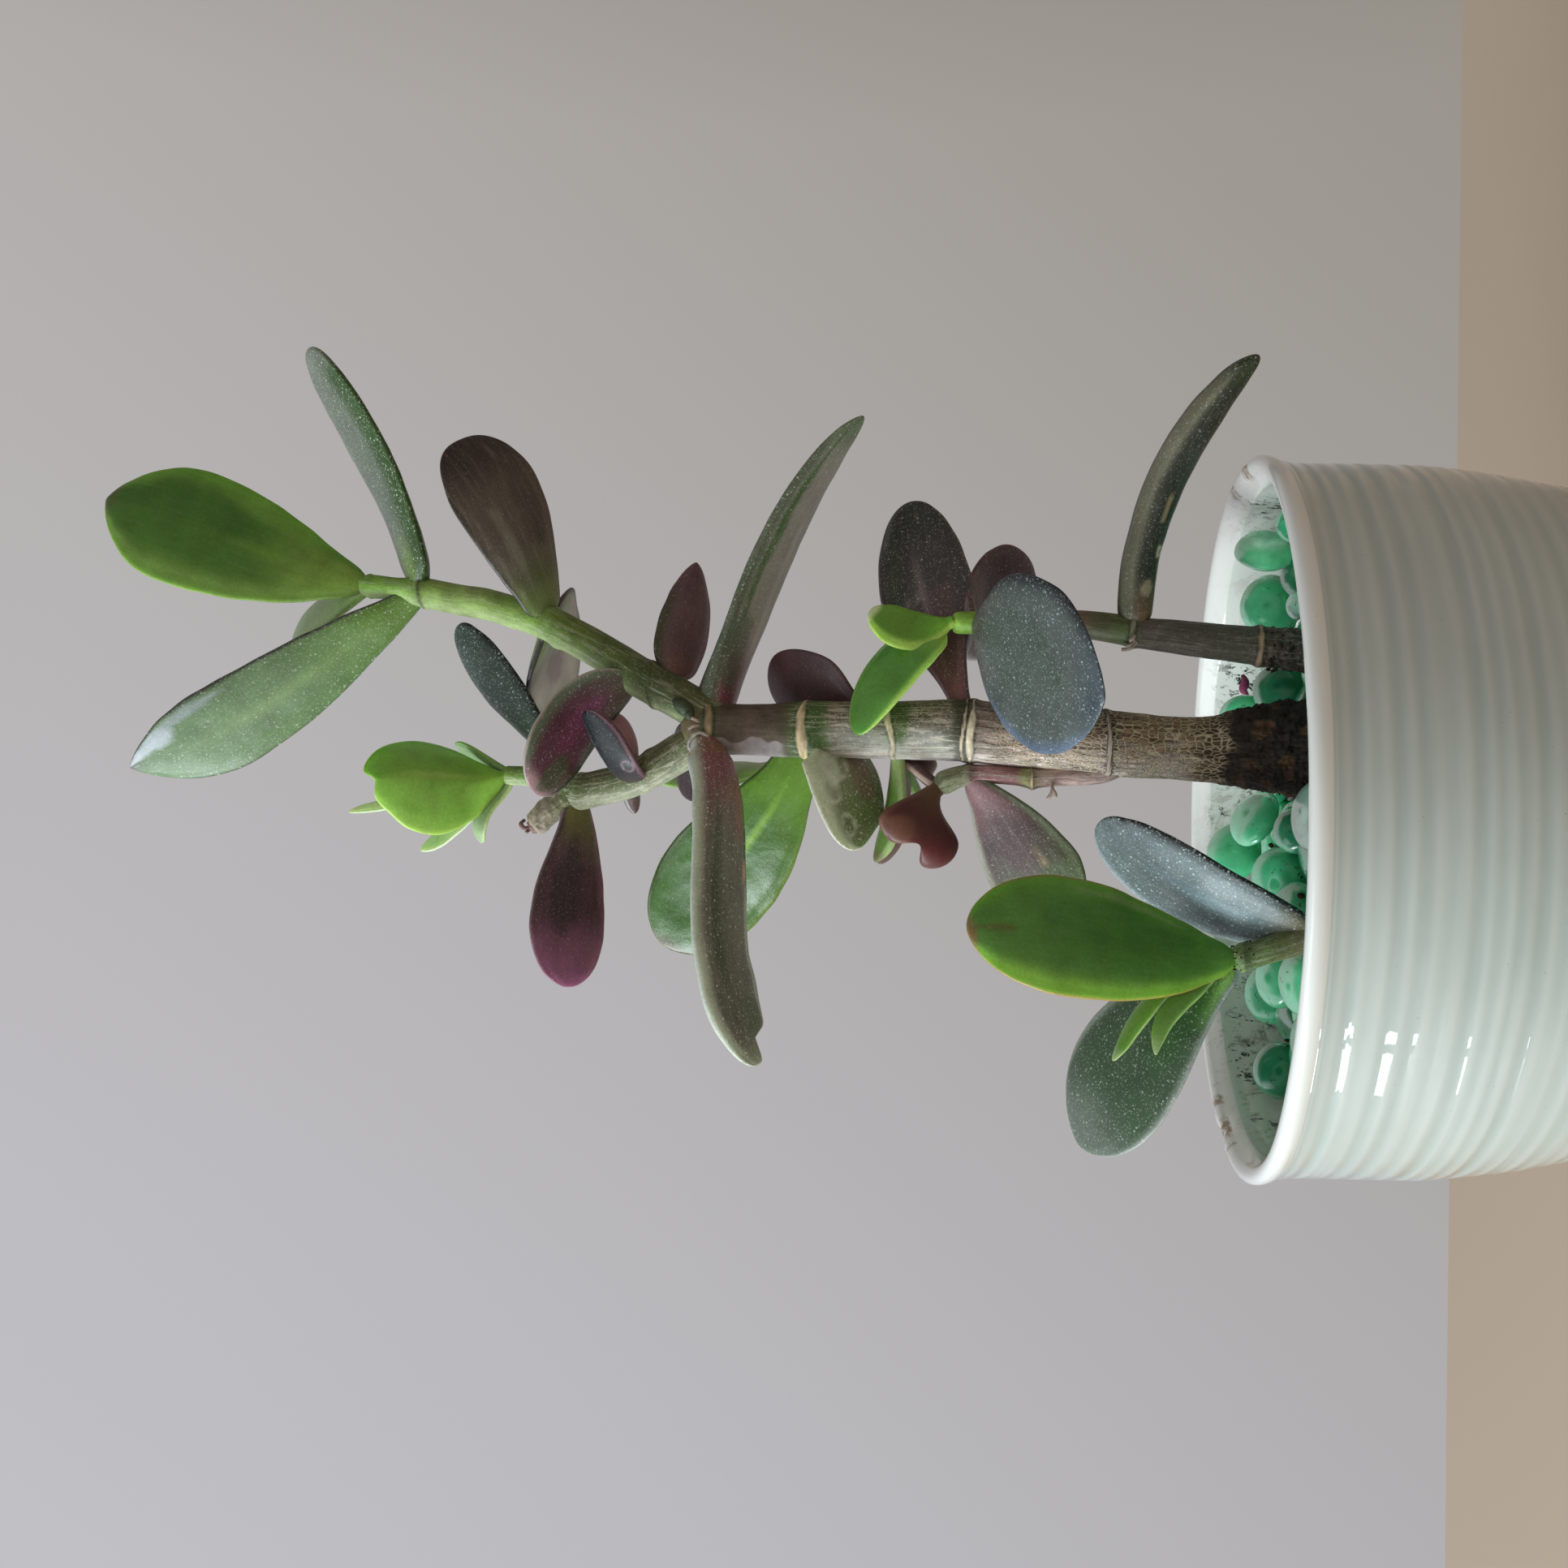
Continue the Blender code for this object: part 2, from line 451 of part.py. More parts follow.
def build_trunk(group):
    """Trunk, two branches, a cut stub and the side shoot, grown together as one piece."""
    item = tube("trunk", stem_axis(TRUNK, TRUNK_RINGS), 12, 0.0, group)
    limbs = new_collection("limbs", helper=True)
    tube("limb_right", list(BRANCH_RIGHT), 10, 0.0, limbs, cutter=True)
    tube("limb_left", list(BRANCH_LEFT), 10, 0.0, limbs, cutter=True)
    tube("limb_stub", list(STUB), 8, 0.0, limbs, cutter=True)
    tube("limb_shoot", stem_axis(SIDE_SHOOT, SHOOT_RINGS), 8, 0.0, limbs, cutter=True)
    boolean(item, "UNION", group=limbs)
    applied(item)
    keep_largest(item)
    for limb in list(limbs.objects):
        bpy.data.objects.remove(limb, do_unlink=True)
    bpy.data.collections.remove(limbs)
    return item


def build_clearances(group):
    """Each stem a gap larger all round: what leaves, beads and soil are cut back by."""
    rows = (
        ("trunk", stem_axis(TRUNK, TRUNK_RINGS), 12),
        ("right", list(BRANCH_RIGHT), 10),
        ("left", list(BRANCH_LEFT), 10),
        ("stub", list(STUB), 8),
        ("shoot", stem_axis(SIDE_SHOOT, SHOOT_RINGS), 8),
        ("right_stem", stem_axis(RIGHT_STEM, RIGHT_RINGS), 10),
        ("left_stem", list(LEFT_STEM), 8),
    )
    for name, path, sides in rows:
        tube("clear_" + name, lengthened(path), sides, STEM_CLEAR, group, cutter=True)


def lengthened(path):
    """The path with a gap added past each end, in line with its end spans."""
    ends = []
    for near, far in ((path[0], path[1]), (path[-1], path[-2])):
        axis = (Vector(near[0]) - Vector(far[0])).normalized()
        ends.append((tuple(Vector(near[0]) + axis * GAP), near[1]))
    return [ends[0]] + list(path) + [ends[1]]


def unit(vector):
    return vector / np.linalg.norm(vector)


def leaf_spans(design):
    """Places along the leaf from foot to tip, with the share of full width and thickness at each."""
    widest = design["widest"]
    low = np.linspace(0, 1, LEAF_LOW_SPANS + 1)
    high = np.sin(np.linspace(0, math.pi / 2, LEAF_HIGH_SPANS + 1))[1:]
    low_width = design["stalk"] + (1 - design["stalk"]) * np.sin(math.pi / 2 * low ** design["flare"]) ** 2
    high_width = np.maximum(1 - high ** 2, 0) ** design["blunt"]
    along = np.concatenate([widest * low, widest + (1 - widest) * high])
    wide = np.concatenate([low_width, high_width])
    thick = np.concatenate([np.ones_like(low), np.sqrt(np.maximum(1 - high ** 3, 0))])
    return along, wide, thick


def leaf_rings(design, grow=0.0):
    """Cross-section rings along a curved midline, as an array of rings by points by coordinates."""
    heading, rise = math.radians(design["heading"]), math.radians(design["rise"])
    chord = np.array([math.cos(rise) * math.cos(heading), math.cos(rise) * math.sin(heading), math.sin(rise)])
    foot = np.array(NODES[design["at"]], float) - chord * grow
    face = np.array(design["face"], float)
    top = unit(face - face @ chord * chord)
    side = np.cross(top, chord)
    length = design["length"] + 2 * grow
    third = foot + chord * length / 3 + top * design["bend"][0] + side * design["sway"][0]
    two_thirds = foot + chord * length * 2 / 3 + top * design["bend"][1] + side * design["sway"][1]
    tip = foot + chord * length
    along, wide, thick = leaf_spans(design)
    t = along[:, None]
    back = 1 - t
    middle = back ** 3 * foot + 3 * t * back ** 2 * third + 3 * t ** 2 * back * two_thirds + t ** 3 * tip
    ahead = back ** 2 * (third - foot) + 2 * t * back * (two_thirds - third) + t ** 2 * (tip - two_thirds)
    ahead = ahead / np.linalg.norm(ahead, axis=1)[:, None]
    across = side - (ahead @ side)[:, None] * ahead
    across = across / np.linalg.norm(across, axis=1)[:, None]
    above = np.cross(ahead, across)
    turn = np.arange(LEAF_SIDES) * 2 * math.pi / LEAF_SIDES
    flat = np.cos(turn)
    round_share = np.sign(np.sin(turn)) * np.abs(np.sin(turn)) ** 0.85
    half_width = (design["width"] / 2 + grow) * wide
    swollen = 1 + design["swell"] * np.exp(-(along * length / SWELL_REACH) ** 2)
    half_thick = (design["thick"] / 2 * swollen + grow) * thick
    fold = design["crease"] * (np.sqrt(flat ** 2 + 0.02) - 0.14)
    x = half_width[:, None] * flat[None]
    z = half_thick[:, None] * round_share[None] + half_width[:, None] * fold[None]
    dent = -design["notch"] * t ** 6 * np.exp(-(x / (0.22 * design["width"])) ** 2)
    rings = middle[:, None] + across[:, None] * x[..., None] + above[:, None] * z[..., None]
    return rings + ahead[:, None] * dent[..., None]


def leaf_mesh(design, name, grow=0.0):
    """Skins the rings: a flat foot, quads along the blade and a fan at the tip."""
    rings = leaf_rings(design, grow)
    bm = bmesh.new()
    rows = [[bm.verts.new(point) for point in ring] for ring in rings[:-1]]
    tip = bm.verts.new(rings[-1].mean(axis=0))
    bm.faces.new(rows[0])
    for near, far in zip(rows, rows[1:]):
        for i in range(LEAF_SIDES):
            j = (i + 1) % LEAF_SIDES
            bm.faces.new((near[i], near[j], far[j], far[i]))
    for i in range(LEAF_SIDES):
        bm.faces.new((rows[-1][i], rows[-1][(i + 1) % LEAF_SIDES], tip))
    return mesh_from(name, bm)


def build_leaf(design, clearances, group):
    """A leaf seated on its stem: the stems and any leaf it stands behind are cut from it, with a gap."""
    item = add_object("leaf_" + design["name"], leaf_mesh(design, design["name"]), group)
    boolean(item, "DIFFERENCE", group=clearances)
    applied(item)
    keep_largest(item)
    for other in design["behind"]:
        match = next(row for row in LEAVES if row["name"] == other)
        clear = add_object("clear_" + other, leaf_mesh(match, other, LEAF_CLEAR), group, cutter=True)
        boolean(item, "DIFFERENCE", other=clear)
        applied(item)
        keep_largest(item)
        bpy.data.objects.remove(clear, do_unlink=True)
    return item


def build_soil(clearances, group):
    """Soil filling the pot to a little under the beads, with a plain hole for each stem."""
    profile = [(0.0, SOIL_TOP), (0.045, SOIL_TOP), (wall_radius(0.086) - WALL - GAP, SOIL_TOP - SOIL_RIM_DIP)]
    for height in (0.084, 0.064, 0.044, 0.024):
        profile.append((wall_radius(height) - WALL - SOIL_CLEAR, height))
    profile += [(0.0433, FLOOR + 0.0045), (0.0335, FLOOR + GAP), (0.0, FLOOR + GAP)]
    item = turned("soil", profile, SOIL_STEPS, group)
    boolean(item, "DIFFERENCE", group=clearances)
    applied(item)
    keep_largest(item)
    return item


def bead_places():
    """Rings of beads about the pot's axis, heaped a little towards the back and jittered by a seeded rule."""
    chance = random.Random(BEAD_SEED)
    places = []
    for ring in range(BEAD_RINGS):
        radius = ring * BEAD_RING_STEP
        count = max(1, round(2 * math.pi * radius / BEAD_PITCH))
        start = chance.uniform(0, math.pi)
        for i in range(count):
            turn = start + 2 * math.pi * i / count
            x = radius * math.cos(turn) + chance.uniform(-BEAD_JITTER, BEAD_JITTER)
            y = radius * math.sin(turn) + chance.uniform(-BEAD_JITTER, BEAD_JITTER)
            z = BEAD_LEVEL + BEAD_HEAP * y / BEAD_RING_STEP + chance.uniform(0, 2 * BEAD_JITTER)
            lean = (chance.uniform(-BEAD_LEAN, BEAD_LEAN), chance.uniform(-BEAD_LEAN, BEAD_LEAN), turn)
            places.append((Vector((x, y, z)), Euler(lean), chance.uniform(0.94, 1.06)))
    return places


def build_beads(clearances, group):
    """Flat glass beads as lens shapes, overlapped and fused into one layer that rests on the soil."""
    heap = new_collection("bead_heap", helper=True)
    item = None
    for place, tilt, scale in bead_places():
        bm = bmesh.new()
        bmesh.ops.create_uvsphere(bm, u_segments=6, v_segments=4, radius=1.0)
        size = Matrix.Diagonal((BEAD_RADIUS * scale, BEAD_RADIUS * scale * 0.92, BEAD_HALF_HEIGHT, 1.0))
        place_at = Matrix.Translation(place) @ tilt.to_matrix().to_4x4() @ size
        bmesh.ops.transform(bm, matrix=place_at, verts=bm.verts)
        mesh = mesh_from("bead", bm)
        if item is None:
            item = add_object("glass_beads", mesh, group)
        else:
            add_object("bead", mesh, heap, cutter=True)
    boolean(item, "UNION", group=heap)
    applied(item)
    for bead in list(heap.objects):
        bpy.data.objects.remove(bead, do_unlink=True)
    bpy.data.collections.remove(heap)
    low = next(row for row in LEAVES if row["name"] == "left_stem_right")
    clear_leaf = add_object("clear_low_leaf", leaf_mesh(low, "low", LEAF_CLEAR), clearances, cutter=True)
    boolean(item, "DIFFERENCE", group=clearances)
    under = [(0.0, SOIL_TOP + GAP), (RIM_RADIUS, SOIL_TOP + GAP), (RIM_RADIUS, 0.070), (0.0, 0.070)]
    below = turned("clear_soil", under, 24, clearances, cutter=True)
    boolean(item, "DIFFERENCE", other=below)
    applied(item)
    keep_largest(item)
    bpy.data.objects.remove(clear_leaf, do_unlink=True)
    bpy.data.objects.remove(below, do_unlink=True)
    return item


def finish(item, look):
    item.data.materials.clear()
    item.data.materials.append(look)
    for face in item.data.polygons:
        face.use_smooth = True
    item.data.set_sharp_from_angle(angle=math.radians(40))


def main():
    clear_scene()
    group = new_collection("jade_plant")
    clearances = new_collection("jade_plant_cutters", helper=True)
    build_clearances(clearances)
    finish(build_pot(group), material("glaze", (0.62, 0.74, 0.70, 1.0), 0.12))
    finish(build_soil(clearances, group), material("soil", (0.03, 0.02, 0.015, 1.0), 0.95))
    finish(build_beads(clearances, group), material("glass", (0.10, 0.55, 0.34, 1.0), 0.08, 0.7))
    bark = material("bark", (0.24, 0.17, 0.11, 1.0), 0.8)
    finish(build_trunk(group), bark)
    finish(tube("right_stem", stem_axis(RIGHT_STEM, RIGHT_RINGS), 10, 0.0, group), bark)
    finish(tube("left_stem", list(LEFT_STEM), 8, 0.0, group), bark)
    looks = {
        YOUNG: material("leaf_young", YOUNG, 0.4), GREEN: material("leaf_green", GREEN, 0.45),
        BLUE: material("leaf_blue", BLUE, 0.5), PURPLE: material("leaf_purple", PURPLE, 0.45),
        BRONZE: material("leaf_bronze", BRONZE, 0.45),
    }
    for design in LEAVES:
        finish(build_leaf(design, clearances, group), looks[design["colour"]])


main()
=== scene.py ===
# Looks for the potted jade plant: finely modelled leaves, bark, glaze, glass beads and soil around the
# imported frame. Metres, +Z up, origin at the middle of the pot's foot, the plant's front faces -Y.
import math
import random

import bpy
import numpy as np
from mathutils import Euler, Matrix, Vector, noise


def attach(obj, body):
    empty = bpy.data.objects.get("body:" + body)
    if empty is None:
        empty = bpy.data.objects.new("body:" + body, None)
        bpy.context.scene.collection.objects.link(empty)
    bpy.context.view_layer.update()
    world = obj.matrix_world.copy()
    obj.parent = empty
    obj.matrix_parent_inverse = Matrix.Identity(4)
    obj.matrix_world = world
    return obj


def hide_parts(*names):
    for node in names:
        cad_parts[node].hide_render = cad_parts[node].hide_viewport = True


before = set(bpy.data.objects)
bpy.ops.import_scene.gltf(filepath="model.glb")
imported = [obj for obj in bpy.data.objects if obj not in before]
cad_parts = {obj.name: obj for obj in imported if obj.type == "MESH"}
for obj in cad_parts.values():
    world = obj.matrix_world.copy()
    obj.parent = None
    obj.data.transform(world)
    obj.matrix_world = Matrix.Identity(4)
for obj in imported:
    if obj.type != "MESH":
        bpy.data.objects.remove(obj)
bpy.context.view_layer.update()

# Camera: a phone held a little above the rim, tipped up, and turned on its side
EYE = Vector((0.0062, -0.310, 0.163))
FOCAL_SHARE = 1735 / 1932
SENSOR = 36.0
PITCH = math.radians(9.03)
ROLL = math.radians(0.65)

# Pot
POT_HEIGHT = 0.115
RIM_RADIUS = 0.075
WALL = 0.004
LIP_HEIGHT = 0.0034
FOOT_RADIUS = 0.045
FLOOR = 0.008
WALL_CURVE = ((0.1116, 0.0736), (0.107, 0.0733), (0.083, 0.0724), (0.075, 0.0713), (0.067, 0.0699),
              (0.059, 0.0681), (0.0505, 0.0661), (0.036, 0.0615), (0.020, 0.0550), (0.008, 0.0490),
              (0.003, 0.0465))
# Heights of the grooves between the throwing rings, and how deep the upper ones are
GROOVES = (0.1107, 0.1072, 0.1046, 0.1008, 0.0970, 0.0930, 0.0884, 0.0853, 0.0823, 0.0788, 0.0753, 0.0716,
           0.0676, 0.0640, 0.0600, 0.0562, 0.0520, 0.0480, 0.0436, 0.0396, 0.0350, 0.0306, 0.0262, 0.0214)
GROOVE_DEPTH = 0.00011
POT_SPANS = 256
# Chips in the lip: heading in degrees from +X, half reach in degrees, and depth
RIM_CHIPS = ((166, 5.0, 0.0006), (173, 1.6, 0.0004), (157, 2.0, 0.0003), (-3, 3.0, 0.0004),
             (9, 1.4, 0.0003))
# Where the inner wall is soiled most: heading in degrees from +X, reach in degrees, and share
DIRT_SPOTS = ((150, 20, 1.0), (11, 12, 1.0), (92, 8, 0.6), (60, 7, 0.6))

# Soil and beads
SOIL_TOP = 0.0915
SOIL_SPANS = 64
SOIL_SIDES = 160
BEAD_LEVEL = 0.0962
BEAD_SEED = 7
BEAD_RINGS = 5
BEAD_RING_STEP = 0.0147
BEAD_PITCH = 0.0135
BEAD_JITTER = 0.0022
STREWN_BEADS = 34
STREWN_TURN = 2.4
STREWN_REACH = 0.062

# Stems: the points of each axis with the radius there
TRUNK = (
    ((0.0150, 0, 0.080), 0.0092), ((0.0152, 0, 0.090), 0.0098), ((0.0150, 0, 0.1025), 0.0096),
    ((0.0150, 0, 0.111), 0.0086), ((0.0146, 0, 0.119), 0.0072), ((0.0148, 0, 0.1275), 0.0068),
    ((0.0153, 0, 0.136), 0.0069), ((0.0158, 0, 0.1445), 0.0070), ((0.0165, 0, 0.153), 0.0068),
    ((0.0173, 0, 0.162), 0.0068), ((0.0181, 0, 0.1705), 0.0069), ((0.0184, 0, 0.179), 0.0066),
    ((0.0184, 0, 0.188), 0.0064), ((0.0184, 0, 0.197), 0.0063), ((0.0183, 0, 0.208), 0.0063),
    ((0.0182, 0, 0.2155), 0.0059), ((0.0184, 0, 0.2245), 0.0057), ((0.0186, 0, 0.2315), 0.0058),
    ((0.0187, 0, 0.2340), 0.0046), ((0.0187, 0, 0.2355), 0.0022),
)
BRANCH_RIGHT = (
    ((0.0190, 0, 0.226), 0.0046), ((0.0250, 0, 0.236), 0.0046), ((0.0294, 0, 0.2445), 0.0046),
    ((0.0336, 0, 0.251), 0.0042), ((0.0379, 0, 0.2585), 0.0041), ((0.0424, 0, 0.2675), 0.0040),
    ((0.0445, 0, 0.274), 0.0037), ((0.0468, 0, 0.282), 0.0036), ((0.0482, 0, 0.290), 0.0035),
    ((0.0498, 0, 0.298), 0.0034), ((0.0506, 0, 0.304), 0.0027), ((0.0514, 0, 0.311), 0.0027),
    ((0.0518, 0, 0.3135), 0.0015),
)
BRANCH_LEFT = (
    ((0.0185, 0, 0.226), 0.0044), ((0.0134, 0.0005, 0.2355), 0.0044), ((0.0075, 0.001, 0.246), 0.0041),
    ((0.0050, 0.0015, 0.2545), 0.0041), ((0.0040, 0.002, 0.261), 0.0040), ((0.0058, 0.002, 0.266), 0.0027),
    ((0.0072, 0.002, 0.272), 0.0023), ((0.0075, 0.002, 0.2775), 0.0022),
)
STUB = (
    ((0.0040, 0.002, 0.261), 0.0031), ((-0.0007, 0.001, 0.267), 0.0030), ((-0.0036, 0.001, 0.270), 0.0028),
    ((-0.0042, 0.001, 0.2707), 0.0016),
)
SIDE_SHOOT = (
    ((0.0125, -0.001, 0.137), 0.0020), ((0.0092, -0.001, 0.143), 0.0021), ((0.0084, -0.001, 0.153), 0.0020),
    ((0.0080, -0.001, 0.158), 0.0021), ((0.0085, -0.001, 0.1615), 0.0020),
    ((0.0089, -0.001, 0.170), 0.0021),
    ((0.0082, -0.001, 0.1735), 0.0024), ((0.0068, -0.001, 0.177), 0.0026),
    ((0.0062, -0.001, 0.1785), 0.0014),
)
RIGHT_STEM = (
    ((0.0350, 0, 0.080), 0.0044), ((0.0355, 0, 0.101), 0.0043), ((0.0365, 0, 0.111), 0.0040),
    ((0.0374, 0, 0.119), 0.0038), ((0.0385, 0, 0.1275), 0.0036), ((0.0396, 0, 0.136), 0.0033),
    ((0.0410, 0, 0.1445), 0.0031), ((0.0416, 0, 0.153), 0.0029), ((0.0419, 0, 0.162), 0.0026),
    ((0.0419, 0, 0.170), 0.0025), ((0.0419, 0, 0.1745), 0.0023), ((0.0419, 0, 0.1755), 0.0012),
)
LEFT_STEM = (
    ((-0.0195, -0.015, 0.080), 0.0030), ((-0.0215, -0.015, 0.095), 0.0030),
    ((-0.0230, -0.015, 0.102), 0.0029), ((-0.0263, -0.015, 0.1115), 0.0026),
    ((-0.0280, -0.015, 0.1165), 0.0026), ((-0.0284, -0.015, 0.1178), 0.0012),
)

# Points on the stems that leaves grow from
NODES = {
    "crown": (0.0514, 0, 0.311), "upper": (0.0498, 0, 0.298), "middle": (0.0424, 0, 0.2675),
    "fork_right": (0.0294, 0, 0.2445), "fork_right_back": (0.0285, 0.002, 0.2395),
    "fork_left": (0.0075, 0.001, 0.246), "left_top": (0.0040, 0.002, 0.261),
    "shoot": (0.0075, 0.002, 0.2775), "shoot_back": (0.0078, 0.0036, 0.2785),
    "shoot_low": (0.0075, 0.0028, 0.2765),
    "fork": (0.0186, 0, 0.2305), "fork_front": (0.0150, -0.003, 0.230),
    "fork_behind": (0.0205, 0.003, 0.233),
    "ring_4": (0.0183, 0, 0.208), "ring_4_back": (0.0130, 0.004, 0.2065), "ring_3": (0.0184, 0, 0.188),
    "ring_2": (0.0182, 0, 0.171), "side_top": (0.0060, -0.001, 0.1775),
    "side_ring": (0.0082, -0.001, 0.172),
    "right_low": (0.0396, 0, 0.1365), "right_mid": (0.0419, 0, 0.170),
    "right_top_back": (0.0410, 0.0012, 0.1765),
    "right_top_front": (0.0422, -0.0012, 0.175), "left_node": (-0.0280, -0.015, 0.1165),
    "left_node_back": (-0.0282, -0.0136, 0.1175), "left_low": (-0.0225, -0.015, 0.1015),
}

STEMS = (TRUNK, BRANCH_RIGHT, BRANCH_LEFT, STUB, SIDE_SHOOT, RIGHT_STEM, LEFT_STEM)

LEAF_THICK = 0.0032
LEAF_SIDES = 48
LEAF_LOW_SPANS = 40
LEAF_HIGH_SPANS = 30


def leaf(name, at, slot, heading, rise, length, width, face, **more):
    """One leaf's design. heading and rise aim the line from its foot to its tip, in degrees from +X
    and from level; face is the side its upper skin looks to; bend and sway push that line towards the
    face and sideways at its first and second thirds; widest, stalk, flare and blunt shape the outline;
    crease folds it, notch dents its tip, swell thickens its foot and bite is where one margin is eaten
    away: how far along, on which side and the share of width left."""
    shape = {"thick": LEAF_THICK, "bend": (0, 0), "sway": (0, 0), "widest": 0.6, "stalk": 0.3, "flare": 1.0,
             "blunt": 0.5, "crease": 0.0, "notch": 0.0, "notch_width": 0.22, "swell": 0.0, "bite": None,
             "edge": 0.95}
    shape.update(more)
    return {"name": name, "at": at, "slot": slot, "heading": heading, "rise": rise, "length": length,
            "width": width, "face": face, **shape}


